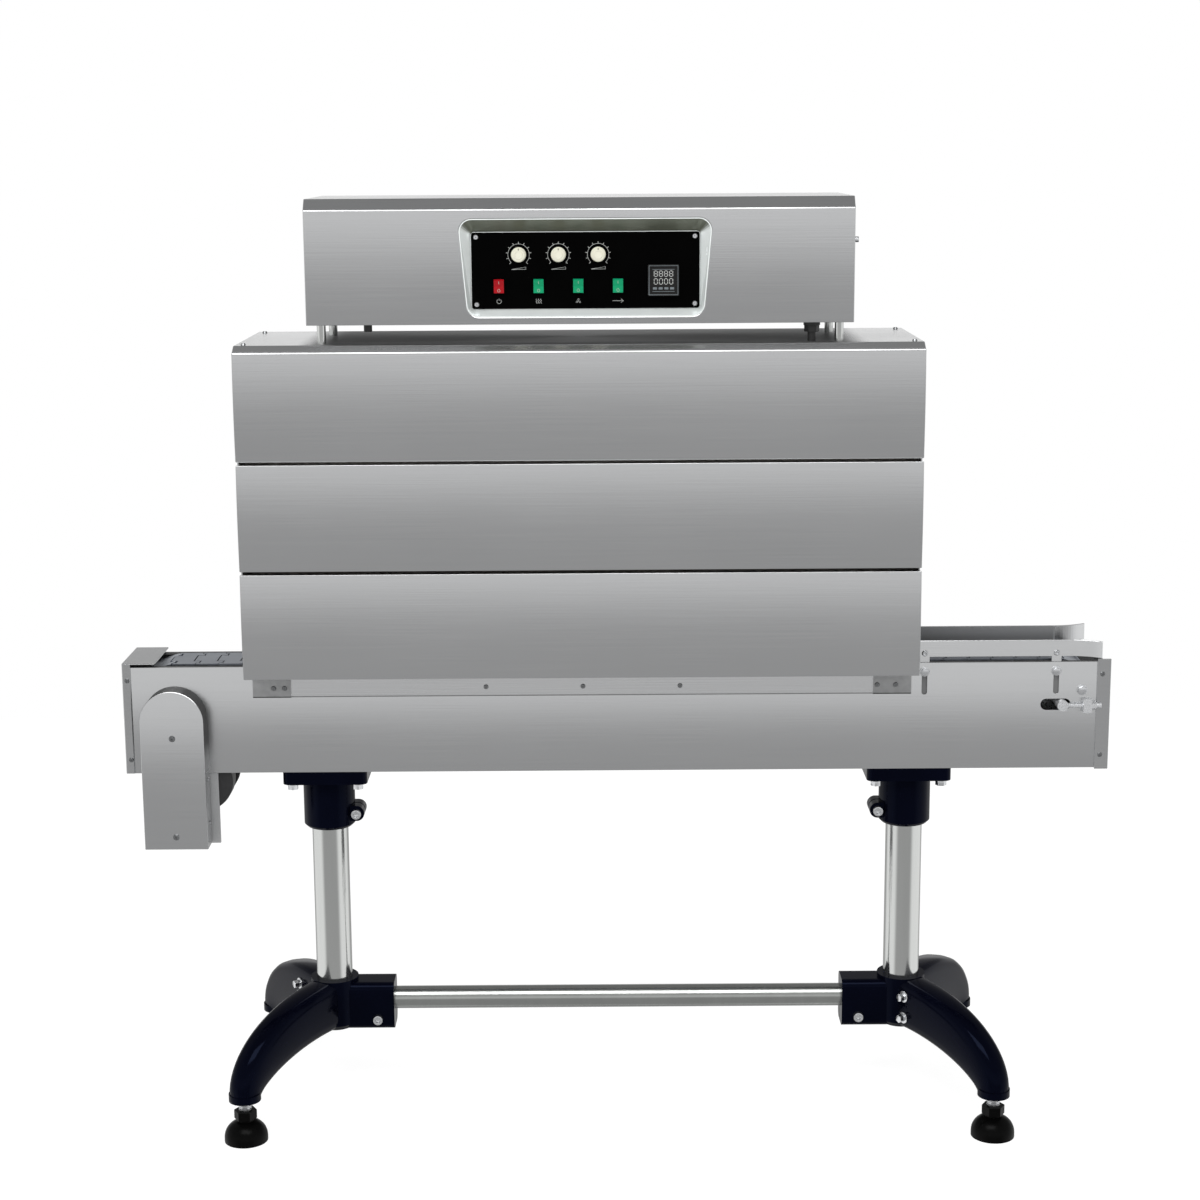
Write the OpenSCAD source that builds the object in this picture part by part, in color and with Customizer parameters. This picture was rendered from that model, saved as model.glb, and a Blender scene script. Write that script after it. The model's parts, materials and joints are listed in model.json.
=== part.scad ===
// Heat shrink tunnel: a steel hot-air tunnel over a table-top chain conveyor, with a control box
// on standoffs and a two-post stand on cast bases.
// X runs along the conveyor to its infeed end, Y to the rear, Z up, in millimetres.
// The origin is on the floor under the middle of the conveyor.

/* [Conveyor] */
// Length over the end covers
conveyor_length = 1604; // [1300:1:2200]
// Width over the side plates
conveyor_width = 120; // [116:1:170]
// Height of the chain's carrying face above the floor
chain_height = 757; // [700:1:900]
// Height of the side plates
side_height = 177; // [172:1:240]
// Sheet of the side plates and end covers
side_sheet = 2.5; // [1.5:0.1:4]
// Inward lip along the top of a side plate
side_lip = 12; // [10:1:14]
// Inward foot along the bottom of a side plate
side_foot = 25; // [15:1:30]
// How far the chain stands above the side plates
chain_proud = 2; // [1:0.5:5]

/* [Slat chain] */
// Pitch of the chain
chain_pitch = 38.1; // [30:0.1:45]
// Width of a slat
slat_width = 82.5; // [70:0.5:86]
// Thickness of a slat
slat_thick = 3; // [2:0.1:4]
// Radius of a knuckle
knuckle_r = 4.5; // [3:0.1:5]
// Width of the middle knuckle
knuckle_mid = 40; // [20:1:44]
// Width over the outer knuckles
knuckle_span = 66; // [50:1:68]
// Teeth of a sprocket, an odd number
sprocket_teeth = 11; // [9:2:13]
// Diameter of the head shaft
head_shaft_d = 25; // [16:1:30]
// Diameter of the tail shaft
tail_shaft_d = 18; // [12:1:25]

/* [Guide rails] */
// Height of a rail
rail_height = 27; // [20:1:40]
// Bottom of a rail above the chain
rail_lift = 7; // [4:1:30]
// Sheet of a rail
rail_sheet = 3; // [2:0.5:4]
// Radius of the flared end
flare_r = 90; // [60:1:140]
// Angle of the flared end
flare_angle = 35; // [15:1:50]

/* [Drive] */
// Width of the drive cover
cover_width = 103; // [90:1:130]
// Depth of the drive cover
cover_depth = 40; // [30:1:60]
// Height of the drive cover
cover_height = 264; // [230:1:320]
// Diameter of the motor
motor_d = 100; // [70:1:104]

/* [Tunnel body] */
// Length of the body
body_length = 1068; // [800:1:1400]
// Depth of the body over its panels
body_depth = 320; // [280:1:420]
// Height of the body
body_height = 525; // [450:1:650]
// Offset of the body's middle towards the outfeed end
body_shift = 56; // [0:1:100]
// Thickness of a panel
panel_thick = 10; // [8:0.5:20]
// Bow of a panel's face
panel_bow = 3; // [1:0.5:5]
// Open joint between two panels
panel_joint = 5; // [2:0.5:10]
// Width of the hot chamber
chamber_width = 164; // [140:1:200]
// Height of the hot chamber above the chain
chamber_height = 360; // [250:1:400]

/* [Control box] */
// Width of the box
box_width = 845; // [700:1:950]
// Depth of the box
box_depth = 265; // [220:1:290]
// Height of the box
box_height = 192; // [175:1:240]
// Gap between the box and the body
box_gap = 30; // [20:1:60]
// How far the box front sits behind the body front
box_setback = 25; // [0:1:40]
// Width of the tray's mouth
tray_width = 380; // [375:1:420]
// Height of the tray's mouth
tray_height = 150; // [145:1:160]
// Depth of the tray
tray_depth = 20; // [12:1:30]
// Diameter of a knob
knob_d = 23; // [18:1:28]
// Tilt of a rocker to either side
rocker_tilt = 8; // [4:1:12]

/* [Stand] */
// Distance between the posts
post_spacing = 958; // [700:1:1100]
// Diameter of a post
post_d = 60; // [48:1:70]
// Diameter of the cross tube
tube_d = 38; // [30:1:42]
// Foot distance from the post along the conveyor
foot_out = 127; // [80:1:180]
// Foot distance from the post across the conveyor
foot_reach = 200; // [170:1:280]
// Diameter of a foot pad
pad_d = 70; // [55:1:90]

/* [Hidden] */
$fn = 64;

steel = [0.72, 0.73, 0.74];
bright_steel = [0.84, 0.85, 0.86];
zinc = [0.66, 0.67, 0.68];
slat_grey = [0.56, 0.6, 0.65];
motor_grey = [0.45, 0.46, 0.48];
cast_black = [0.05, 0.05, 0.07];
panel_black = [0.03, 0.03, 0.03];
ivory = [0.88, 0.87, 0.8];
signal_red = [0.75, 0.08, 0.12];
signal_green = [0.1, 0.62, 0.42];

// Small allowances that many pieces share
seat = 0.3;
fit = 0.1;
eps = 1;

// Conveyor frame
side_top = chain_height - chain_proud;
side_bottom = side_top - side_height;
end_x = conveyor_length / 2;
half_width = conveyor_width / 2;
web_in = half_width - side_sheet;
left_flange = 14;
right_flange = 22;
cap_length = 54;
cap_lift = 5;

// Chain geometry: the pins lie on the pitch circle, and the slats stand outside it
pin_to_face = 5;
tooth_step = 360 / sprocket_teeth;
pitch_r = chain_pitch / (2 * sin(tooth_step / 2));
wrap_links = (sprocket_teeth + 1) / 2;
shaft_z = chain_height - pin_to_face - pitch_r;
end_room = pitch_r + pin_to_face + side_sheet + 2 * eps;
run_links = floor((conveyor_length - 2 * end_room) / chain_pitch);
run_length = run_links * chain_pitch;
head_x = -run_length / 2;
tail_x = run_length / 2;
return_z = shaft_z - pitch_r * cos(tooth_step / 2);
slat_gap = 0.8;
knuckle_gap = 2;

// Tracks that carry the chain, and the ties that carry the tracks
track_in = knuckle_span / 2 + eps;
track_width = 12;
track_thick = 10;
track_x = run_length / 2 - pitch_r - 8;
carry_z = chain_height - slat_thick - seat;
return_face_z = return_z - pin_to_face;
tie_size = 22;
tie_count = 5;

// Guide rails stand in slots on the infeed side of the body
body_mid_x = -body_shift;
body_left = body_mid_x - body_length / 2;
body_right = body_mid_x + body_length / 2;
rail_start = body_right + 12;
rail_z = chain_height + rail_lift;
flare_x = tail_x + 8;
flare_steps = 12;
strap_width = 16;
strap_x = [rail_start + strap_width / 2 + 2, tail_x - 10];
strap_drop = 57;
strap_slot = 9;
strap_slot_height = 44;
strap_slot_z = side_top - 9 - strap_slot_height / 2;
slot_length = 49;

// The last tie stands midway between the two straps
tie_ends = [50 - track_x, (strap_x[0] + strap_x[1]) / 2];

// Drive at the outfeed end
cover_x = -end_x + 84;
cover_top = side_top - 31;
cover_bottom = cover_top - cover_height;
cover_sheet = 2;
motor_x = cover_x + 38;
motor_z = return_face_z - 3 - motor_d / 2;
drive_plate_thick = 5;
drive_plate_width = 110;
gearbox_depth = 30;
foot_notch = [cover_x - cover_width / 2, motor_x + motor_d / 2 + 5];

// Tunnel body
body_bottom = chain_height - 1;
body_top = body_bottom + body_height;
half_depth = body_depth / 2;
panel_in = half_depth - panel_thick;
bend_drop = 11;
bend_depth = 20;
bend_z = body_top - bend_drop;
panel_height = (bend_z - body_bottom - 2 * panel_joint) / 3;
skin = 2;
chamber_top = chain_height + chamber_height;
chamber_half = chamber_width / 2;
bow_r = (pow(panel_height / 2, 2) + pow(panel_bow, 2)) / (2 * panel_bow);
mount_drop = 51;
mount_sheet = 3;
mount_shelf = 50;
mount_pad = 62;

// Control box and its panel
box_mid_x = body_mid_x + 2;
box_z = body_top + box_gap;
box_top = box_z + box_height;
box_front = -half_depth + box_setback;
box_sheet = 2;
box_bevel = [15, 17];
tray_x = box_mid_x + 9;
tray_z = box_z + 86;
tray_corner = 20;
tray_taper = [8, -12];
tray_steps = 8;
tray_wall = 1.5;
tray_back = box_front + tray_depth;
plate_width = tray_width - 26;
plate_height = tray_height - 31;
plate_thick = 2;
plate_z = tray_z - 5;
plate_face = tray_back - plate_thick;
knob_row = plate_z + 24.5;
rocker_row = plate_z - 23.5;
control_step = 61.3;
knob_x = [for (i = [0:2]) tray_x - 103 + i * control_step];
rocker_x = [for (i = [0:3]) tray_x - 134 + i * control_step];
knob_height = 14;
knob_shaft_d = 6;
frame_size = [20, 25];
frame_thick = 2.5;
window = [16, 22.4];
rocker_r = window[1] / 2 - 0.2;
rocker_width = window[0] - 0.4;
meter_x = tray_x + 120;
meter_z = plate_z - 15.5;
meter_size = 48;
meter_body = 44.5;
standoff_d = 14;
standoff_inset = 20.5;
standoff_y = [box_front + 25, box_front + 185];
gland_inset = [92.5, 62.5];
gland_y = box_front + 30;
gland_d = 13;
gland_nut = [24, 10];
gland_flange = [26, 6];
gland_blank = 12;

// Stand
post_x = post_spacing / 2;
flange_size = [138, conveyor_width];
flange_thick = 22;
socket_d = post_d + 25;
socket_bottom = side_bottom - 106;
clamp_z = socket_bottom + 24;
hub_d = post_d + 20;
hub_chamfer = 9;
hub_bottom = 119;
hub_top = 206;
tube_z = 166;
block_reach = 102;
block_depth = 60;
block_height = 81;
arm_end_z = 69;
arm_end_d = 47;
arm_boss = [52, 12];
arm_root = hub_d / 2 - 10;
arm_root_size = [58, 86];
arm_taper = 2.6;
arm_reach = norm([foot_out, foot_reach]);
arm_turn = atan2(foot_reach, foot_out);
arm_rings = 22;
arm_sides = 20;
pad_height = 38;
stud_d = 20;
nut_flats = 32;
nut_height = 14;

// Rectangle about the origin with round corners
module round_rect(size, r) {
  square([size[0], size[1] - 2 * r], center = true);
  square([size[0] - 2 * r, size[1]], center = true);
  for (sx = [-1, 1], sy = [-1, 1])
    translate([sx * (size[0] / 2 - r), sy * (size[1] / 2 - r)])
      circle(r);
}

// Extrudes a Y-Z profile along X, from x0 over a length
module along_x(x0, length) {
  translate([x0, 0, 0])
    rotate([90, 0, 90])
      linear_extrude(length)
        children();
}

// Extrudes an X-Z outline along Y, from y0 over a length towards the rear
module along_y(y0, length) {
  translate([0, y0 + length, 0])
    rotate([90, 0, 0])
      linear_extrude(length)
        children();
}

// Slot in an X-Z outline, with round ends
module slot_outline(size) {
  r = min(size) / 2;
  run = [size[0] - 2 * r, size[1] - 2 * r];
  square([max(run[0], 2 * r), max(run[1], 2 * r)], center = true);
  for (s = [-1, 1])
    translate(s * run / 2)
      circle(r);
}

// Channel section of the front side plate: lip on top, foot below, both turned inwards
module side_section() {
  translate([-half_width, side_bottom])
    square([side_sheet, side_height]);
  translate([-half_width, side_top - side_sheet])
    square([side_lip, side_sheet]);
  translate([-half_width, side_bottom])
    square([side_foot, side_sheet]);
}

module side_plate() {
  plate_left = -end_x + side_sheet;
  difference() {
    along_x(plate_left, end_x - side_sheet - plate_left)
      side_section();
    // Running hole of the head shaft and the slot of the tail shaft
    along_y(-half_width - eps, side_sheet + 2 * eps) {
      translate([head_x, shaft_z])
        circle(head_shaft_d / 2 + fit);
      translate([tail_x - 10, shaft_z])
        slot_outline([slot_length, tail_shaft_d + 1]);
      for (x = strap_x)
        translate([x, strap_slot_z])
          slot_outline([strap_slot, strap_slot_height]);
    }
    // Notches in the lip that let the rail straps through
    for (x = strap_x)
      translate([x - strap_width / 2 - eps, -web_in, side_top - side_sheet - eps])
        cube([strap_width + 2 * eps, rail_sheet + eps, side_sheet + 2 * eps]);
    // The foot stops short of the drive
    translate([foot_notch[0], -web_in, side_bottom - eps])
      cube([foot_notch[1] - foot_notch[0], side_foot, side_sheet + 2 * eps]);
  }
}

module front_side_plate() {
  color(steel)
    side_plate();
}

module rear_side_plate() {
  color(steel)
    mirror([0, 1, 0])
      side_plate();
}

// Folded cap over the chain's outfeed turn, with flanges lapped over the side plates
module left_end_cover() {
  lap = half_width + side_sheet;
  height = side_top + cap_lift - side_bottom;
  color(steel)
    translate([-end_x, 0, side_bottom]) {
      difference() {
        translate([0, -lap, 0])
          cube([left_flange, 2 * lap, height]);
        translate([side_sheet, -half_width, -eps])
          cube([left_flange, conveyor_width, height + 2 * eps]);
      }
      translate([0, -lap, height])
        cube([cap_length, 2 * lap, side_sheet]);
    }
}

// Closing plate at the infeed end, under the chain, with flanges lapped over the side plates
module right_end_cover() {
  lap = half_width + side_sheet;
  drop = 2;
  height = side_height + drop;
  color(steel)
    translate([end_x - right_flange, 0, side_bottom - drop]) {
      translate([right_flange - side_sheet, -lap, 0])
        cube([side_sheet, 2 * lap, height - 8]);
      for (s = [-1, 1])
        translate([0, s * (half_width + side_sheet / 2) - side_sheet / 2, 0])
          cube([right_flange, side_sheet, height + cap_lift]);
    }
}

// Outline of one slat: a middle knuckle leads at the pin x = 0, two outer ones trail at the pitch
module slat_outline() {
  knuckle_room = knuckle_r + knuckle_gap;
  side_knuckle = (knuckle_span - knuckle_mid) / 2 - knuckle_gap;
  difference() {
    translate([slat_gap / 2, -slat_width / 2])
      square([chain_pitch - slat_gap, slat_width]);
    for (s = [-1, 1])
      translate([0, s * (knuckle_mid + knuckle_span) / 4])
        square([2 * knuckle_room, (knuckle_span - knuckle_mid) / 2 + 2 * knuckle_gap], center = true);
    translate([chain_pitch, 0])
      square([2 * knuckle_room, knuckle_mid + 2 * knuckle_gap], center = true);
  }
  translate([-knuckle_r, -knuckle_mid / 2])
    square([2 * knuckle_r + slat_gap, knuckle_mid]);
  for (s = [-1, 1])
    translate([chain_pitch - slat_gap / 2, s * (knuckle_mid / 2 + knuckle_gap + side_knuckle / 2)])
      square([2 * knuckle_r + slat_gap, side_knuckle], center = true);
}

module slat_link() {
  side_knuckle = (knuckle_span - knuckle_mid) / 2 - knuckle_gap;
  translate([0, 0, pin_to_face - slat_thick])
    linear_extrude(slat_thick)
      slat_outline();
  rotate([90, 0, 0])
    cylinder(r = knuckle_r, h = knuckle_mid, center = true);
  for (s = [-1, 1])
    translate([chain_pitch, s * (knuckle_mid / 2 + knuckle_gap + side_knuckle / 2), 0])
      rotate([90, 0, 0])
        cylinder(r = knuckle_r, h = side_knuckle, center = true);
}

// Links round a sprocket, from a start angle measured from straight up
module wrap(x, start) {
  for (i = [0:wrap_links - 1]) {
    a = start + i * tooth_step;
    translate([x + pitch_r * sin(a), 0, shaft_z + pitch_r * cos(a)])
      rotate([0, a + tooth_step / 2, 0])
        slat_link();
  }
}

module slat_chain() {
  color(slat_grey) {
    for (i = [0:run_links - 1])
      translate([head_x + i * chain_pitch, 0, shaft_z + pitch_r])
        slat_link();
    wrap(tail_x, 0);
    for (i = [0:run_links - 2])
      translate([tail_x - (i + 0.5) * chain_pitch, 0, return_z])
        rotate([0, 180, 0])
          slat_link();
    wrap(head_x, 180 - tooth_step / 2);
  }
}

// Slide strips under the carrying run and under the return run
module chain_tracks() {
  color(cast_black)
    for (s = [-1, 1], z = [carry_z, return_face_z - seat])
      translate([-track_x, s * (track_in + track_width / 2) - track_width / 2, z - track_thick])
        cube([2 * track_x, track_width, track_thick]);
}

module cross_ties() {
  low = side_bottom + side_sheet;
  color(zinc)
    for (i = [0:tie_count - 1]) {
      x = tie_ends[0] + (tie_ends[1] - tie_ends[0]) * i / (tie_count - 1);
      translate([x - tie_size / 2, -web_in, carry_z - track_thick - tie_size])
        cube([tie_size, 2 * web_in, tie_size]);
      translate([x - tie_size / 2, -web_in, low])
        cube([tie_size, 2 * web_in, return_face_z - seat - track_thick - low]);
    }
}

// Sprocket whose seats hold the chain's knuckles
module sprocket(x) {
  rim_r = pitch_r * cos(tooth_step / 2) + pin_to_face - slat_thick - 0.5;
  along_y(-8, 16)
    translate([x, shaft_z])
      difference() {
        circle(rim_r);
        for (i = [0:sprocket_teeth - 1])
          rotate(90 - i * tooth_step)
            translate([pitch_r, 0])
              circle(knuckle_r + knuckle_gap);
      }
}

module head_shaft() {
  color(zinc) {
    sprocket(head_x);
    along_y(-half_width - cover_depth + 10, 2 * half_width + cover_depth)
      translate([head_x, shaft_z])
        circle(head_shaft_d / 2);
  }
}

module tail_shaft() {
  color(zinc) {
    sprocket(tail_x);
    along_y(-half_width - 12, conveyor_width + 24)
      translate([tail_x, shaft_z])
        circle(tail_shaft_d / 2);
  }
}

// Arc of the rail's flared end, as plan points at a radius about the flare's centre
function flare_arc(r) = [
  for (i = [0:flare_steps])
    let (a = 90 - flare_angle * i / flare_steps)
    [flare_x + r * cos(a), r * sin(a) - web_in - flare_r]
];
function reversed(list) = [for (i = [len(list) - 1:-1:0]) list[i]];

// Front rail: a strip with an end flared outwards and two straps that drop behind the side plate
module guide_rail() {
  translate([0, 0, rail_z])
    linear_extrude(rail_height)
      polygon([
        [rail_start, -web_in], each flare_arc(flare_r),
        each reversed(flare_arc(flare_r + rail_sheet)), [rail_start, -web_in + rail_sheet]
      ]);
  for (x = strap_x)
    translate([x - strap_width / 2, -web_in, side_top - strap_drop])
      cube([strap_width, rail_sheet, strap_drop + rail_z - side_top + eps]);
}

module front_guide_rail() {
  color(bright_steel)
    guide_rail();
}

module rear_guide_rail() {
  color(bright_steel)
    mirror([0, 1, 0])
      guide_rail();
}

// Take-up at each end of the tail shaft: a lug on the side plate, a screw and its lock nut
module take_up_screws() {
  lug = [14, 14, 23];
  lug_x = tail_x + 33;
  screw_d = 8;
  screw_start = tail_x + tail_shaft_d / 2 + seat;
  color(zinc)
    for (s = [-1, 1])
      translate([0, s * (half_width + lug[1] / 2), shaft_z]) {
        translate([lug_x + lug[0] / 2, 0, 0])
          cube(lug, center = true);
        translate([screw_start, 0, 0])
          rotate([0, 90, 0])
            cylinder(d = screw_d, h = lug_x + lug[0] + 16 - screw_start);
        translate([lug_x + lug[0], 0, 0])
          rotate([0, 90, 0])
            cylinder(d = 15, h = 7, $fn = 6);
      }
}

// Round-topped outline of the drive cover, shrunk by a wall
module cover_outline(wall) {
  r = cover_width / 2;
  straight = cover_height - r;
  translate([cover_x - r + wall, cover_bottom + wall])
    square([cover_width - 2 * wall, straight - wall]);
  translate([cover_x, cover_bottom + straight])
    circle(r - wall);
}

module drive_cover() {
  color(steel)
    difference() {
      along_y(-half_width - cover_depth, cover_depth)
        cover_outline(0);
      along_y(-half_width - cover_depth + cover_sheet, cover_depth)
        cover_outline(cover_sheet);
    }
}

// Gear head on a plate that hangs behind the front side plate
module gearbox() {
  plate_bottom = cover_bottom - 2;
  plate_top = return_face_z + 15;
  plate_x = cover_x + 65 - drive_plate_width;
  color(zinc) {
    translate([plate_x, -web_in, plate_bottom])
      cube([drive_plate_width, drive_plate_thick, plate_top - plate_bottom]);
    along_y(-web_in + drive_plate_thick, gearbox_depth)
      translate([motor_x, motor_z])
        circle(motor_d / 2);
  }
}

// Motor body with cooling grooves and a domed end bell
module motor() {
  start = -web_in + drive_plate_thick + gearbox_depth;
  length = web_in - 3 - start;
  bell = 16;
  r = motor_d / 2 - 1;
  groove_count = 5;
  color(motor_grey)
    translate([motor_x, start, motor_z])
      rotate([-90, 0, 0])
        difference() {
          rotate_extrude()
            polygon([[0, 0], [r, 0], [r, length - bell], [r - 6, length - 4], [r - 14, length], [0, length]]);
          for (i = [0:groove_count - 1])
            translate([0, 0, 10 + i * (length - bell - 16) / (groove_count - 1)])
              rotate_extrude()
                translate([r - 3, -1.5])
                  square([3 + eps, 3]);
        }
}

// Bowed face of one front panel, as a Y-Z profile from z up to z + panel_height
module panel_profile(z) {
  intersection() {
    translate([-half_depth, z])
      square([panel_thick, panel_height]);
    translate([-half_depth + bow_r, z + panel_height / 2])
      circle(bow_r, $fn = 1440);
  }
}

function panel_level(i) = body_bottom + i * (panel_height + panel_joint);

// Upper hood in one sheet: upper front panel, bevel, roof, bevel and upper rear panel
module upper_hood() {
  roof_y = half_depth - panel_bow;
  color(steel) {
    for (s = [0, 1])
      mirror([0, s, 0])
        along_x(body_left, body_length)
          panel_profile(panel_level(2));
    along_x(body_left, body_length)
      difference() {
        polygon([
          [-roof_y, bend_z - eps], [-roof_y, bend_z], [-roof_y + bend_depth, body_top],
          [roof_y - bend_depth, body_top], [roof_y, bend_z], [roof_y, bend_z - eps]
        ]);
        polygon([
          [-panel_in, bend_z - 2 * eps], [-panel_in, bend_z - eps],
          [-panel_in + bend_depth, body_top - panel_bow], [panel_in - bend_depth, body_top - panel_bow],
          [panel_in, bend_z - eps], [panel_in, bend_z - 2 * eps]
        ]);
      }
  }
}

module body_panel(level) {
  color(steel)
    along_x(body_left, body_length)
      panel_profile(panel_level(level));
}

module middle_front_panel() {
  body_panel(1);
}

module lower_front_panel() {
  body_panel(0);
}

module middle_rear_panel() {
  mirror([0, 1, 0])
    body_panel(1);
}

module lower_rear_panel() {
  mirror([0, 1, 0])
    body_panel(0);
}

// End plate with the tunnel's mouth cut out of it
module end_frame(x) {
  color(steel)
    along_x(x, skin)
      difference() {
        translate([-panel_in, body_bottom + skin])
          square([2 * panel_in, bend_z - body_bottom - skin]);
        translate([-chamber_half, body_bottom])
          square([chamber_width, chamber_top - body_bottom]);
      }
}

module left_end_frame() {
  end_frame(body_left + skin);
}

module right_end_frame() {
  end_frame(body_right - 2 * skin);
}

// Liner on each side of the chamber, folded outwards at the bottom to floor the side space
module chamber_walls() {
  liner_left = body_left + 2 * skin;
  color(bright_steel)
    for (s = [0, 1])
      mirror([0, s, 0])
        along_x(liner_left, body_length - 4 * skin) {
          translate([-chamber_half - skin, body_bottom])
            square([skin, chamber_top - body_bottom]);
          translate([-panel_in, body_bottom])
            square([panel_in - chamber_half, skin]);
        }
}

module chamber_ceiling() {
  color(bright_steel)
    translate([body_left + 2 * skin, -chamber_half - skin, chamber_top])
      cube([body_length - 4 * skin, chamber_width + 2 * skin, skin]);
}

// Angle rails on the side plates that carry the body, with thicker pads at both ends
module mount_rails() {
  color(steel)
    for (s = [0, 1])
      mirror([0, s, 0]) {
        along_x(body_left, body_length) {
          translate([-half_width - mount_sheet, body_bottom - mount_drop])
            square([mount_sheet, mount_drop]);
          translate([-half_width - mount_shelf, body_bottom - mount_sheet])
            square([mount_shelf, mount_sheet]);
        }
        for (x = [body_left, body_right - mount_pad])
          translate([x, -half_width - 2 * mount_sheet, body_bottom - mount_drop])
            cube([mount_pad, mount_sheet, mount_drop - mount_sheet]);
      }
}

// Y-Z profile of the control box with its front bevel, shrunk by a wall and open to the rear
module box_profile(wall) {
  rear = box_front + box_depth + (wall > 0 ? eps : 0);
  polygon([
    [box_front + wall, box_z + wall], [box_front + wall, box_top - box_bevel[1]],
    [box_front + box_bevel[0], box_top - wall], [rear, box_top - wall], [rear, box_z + wall]
  ]);
}

module control_box() {
  box_left = box_mid_x - box_width / 2;
  color(steel)
    difference() {
      along_x(box_left, box_width)
        box_profile(0);
      along_x(box_left + box_sheet, box_width - 2 * box_sheet)
        box_profile(box_sheet);
      along_y(box_front - eps, box_sheet + 2 * eps)
        translate([tray_x, tray_z])
          polygon(mouth_outline(0));
    }
}

module box_back_cover() {
  cover = [box_width - 2 * box_sheet - 2 * seat, box_height - 2 * box_sheet - 2 * seat];
  color(steel)
    translate([box_mid_x, box_front + box_depth - box_sheet, box_z + box_height / 2])
      translate([-cover[0] / 2, 0, -cover[1] / 2])
        cube([cover[0], box_sheet, cover[1]]);
}

// Corner of an outline: an arc of a quarter turn
function corner(centre, r, start) = [
  for (i = [0:tray_steps])
    centre + r * [cos(start + 90 * i / tray_steps), sin(start + 90 * i / tray_steps)]
];

// Mouth of the tray, wider at the top than at the bottom, grown by a wall
function mouth_outline(grow) =
  let (
    r = tray_corner + grow,
    top = (tray_width + tray_taper[0]) / 2 + grow - r,
    low = (tray_width + tray_taper[1]) / 2 + grow - r,
    up = tray_height / 2 + grow - r
  )
  [
    each corner([top, up], r, 0), each corner([-top, up], r, 90),
    each corner([-low, -up], r, 180), each corner([low, -up], r, 270)
  ];

// Frustum between the tray's mouth and its floor, grown by a wall
module tray_bowl(wall, front) {
  floor_size = [plate_width + 2 * wall, plate_height + 2 * wall];
  hull() {
    along_y(front, 0.2)
      translate([tray_x, tray_z])
        polygon(mouth_outline(wall - tray_wall - fit));
    along_y(tray_back + wall - 0.2, 0.2)
      translate([tray_x, plate_z])
        round_rect(floor_size, 6, $fn = 32);
  }
}

// Openings for the switches, the meter and the knob shafts
module panel_openings() {
  for (x = rocker_x)
    translate([x, rocker_row])
      square(window, center = true);
  for (x = knob_x)
    translate([x, knob_row])
      circle(d = knob_shaft_d + 1);
  translate([meter_x, meter_z])
    square(meter_body + 2 * seat, center = true);
}

// Pressed tray with sloping flanks
module panel_tray() {
  color(bright_steel)
    difference() {
      tray_bowl(tray_wall, box_front);
      tray_bowl(0, box_front - 0.2);
      along_y(tray_back - eps, tray_wall + 2 * eps)
        panel_openings();
    }
}

module panel_plate() {
  color(panel_black)
    along_y(plate_face, plate_thick)
      difference() {
        translate([tray_x, plate_z])
          round_rect([plate_width - 2, plate_height - 2], 4);
        panel_openings();
      }
}

module switch_frames() {
  color(panel_black)
    for (x = rocker_x)
      along_y(plate_face - frame_thick, frame_thick)
        translate([x, rocker_row])
          difference() {
            round_rect(frame_size, 1.5);
            square(window, center = true);
          }
}

// Meter with a raised rim round its window and a body behind the panel
module temperature_controller() {
  rim_depth = 8;
  rim = 4;
  body_run = 60;
  color(panel_black) {
    difference() {
      along_y(plate_face - rim_depth, rim_depth)
        translate([meter_x, meter_z])
          round_rect([meter_size, meter_size], 2);
      along_y(plate_face - rim_depth - eps, 1.5 + eps)
        translate([meter_x, meter_z])
          square(meter_size - 2 * rim, center = true);
    }
    along_y(plate_face, body_run)
      translate([meter_x, meter_z])
        square(meter_body, center = true);
  }
}

// Knob with a skirt, a fluted grip, a pointer groove and its shaft
module knob(i) {
  skirt = 4;
  grip_r = knob_d / 2 - 1.5;
  flutes = 18;
  flute_r = 1.1;
  groove = [1.2, 1];
  color(ivory)
    translate([knob_x[i], plate_face - seat, knob_row])
      rotate([90, 0, 0]) {
        cylinder(d = knob_d, h = skirt);
        translate([0, 0, -plate_thick - tray_wall - 4])
          cylinder(d = knob_shaft_d, h = plate_thick + tray_wall + 5);
        difference() {
          translate([0, 0, skirt - eps])
            linear_extrude(knob_height - skirt + eps)
              difference() {
                circle(grip_r);
                for (a = [0:flutes - 1])
                  rotate(a * 360 / flutes + 180 / flutes)
                    translate([grip_r + flute_r / 2, 0])
                      circle(flute_r);
              }
          translate([-groove[0] / 2, 0, knob_height - groove[1]])
            cube([groove[0], knob_d, groove[1] + eps]);
        }
      }
}

module left_knob() {
  knob(0);
}

module middle_knob() {
  knob(1);
}

module right_knob() {
  knob(2);
}

// Rocker: a drum about its own pin, its front cut to a shallow V, stored switched off
module rocker(i, paint) {
  valley = 3.5;
  back = 7;
  ridge = valley + rocker_r * tan(rocker_tilt);
  color(paint)
    translate([rocker_x[i], plate_face, rocker_row])
      rotate([rocker_tilt, 0, 0])
        translate([-rocker_width / 2, 0, 0])
          rotate([90, 0, 90])
            linear_extrude(rocker_width)
              intersection() {
                circle(rocker_r);
                polygon([
                  [-ridge, -rocker_r], [back, -rocker_r], [back, rocker_r],
                  [-ridge, rocker_r], [-valley, 0]
                ]);
              }
}

module red_rocker() {
  rocker(0, signal_red);
}

module left_green_rocker() {
  rocker(1, signal_green);
}

module middle_green_rocker() {
  rocker(2, signal_green);
}

module right_green_rocker() {
  rocker(3, signal_green);
}

module box_standoffs() {
  color(bright_steel)
    for (s = [-1, 1], y = standoff_y)
      translate([box_mid_x + s * (box_width / 2 - standoff_inset), y, body_top])
        cylinder(d = standoff_d, h = box_gap);
}

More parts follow.
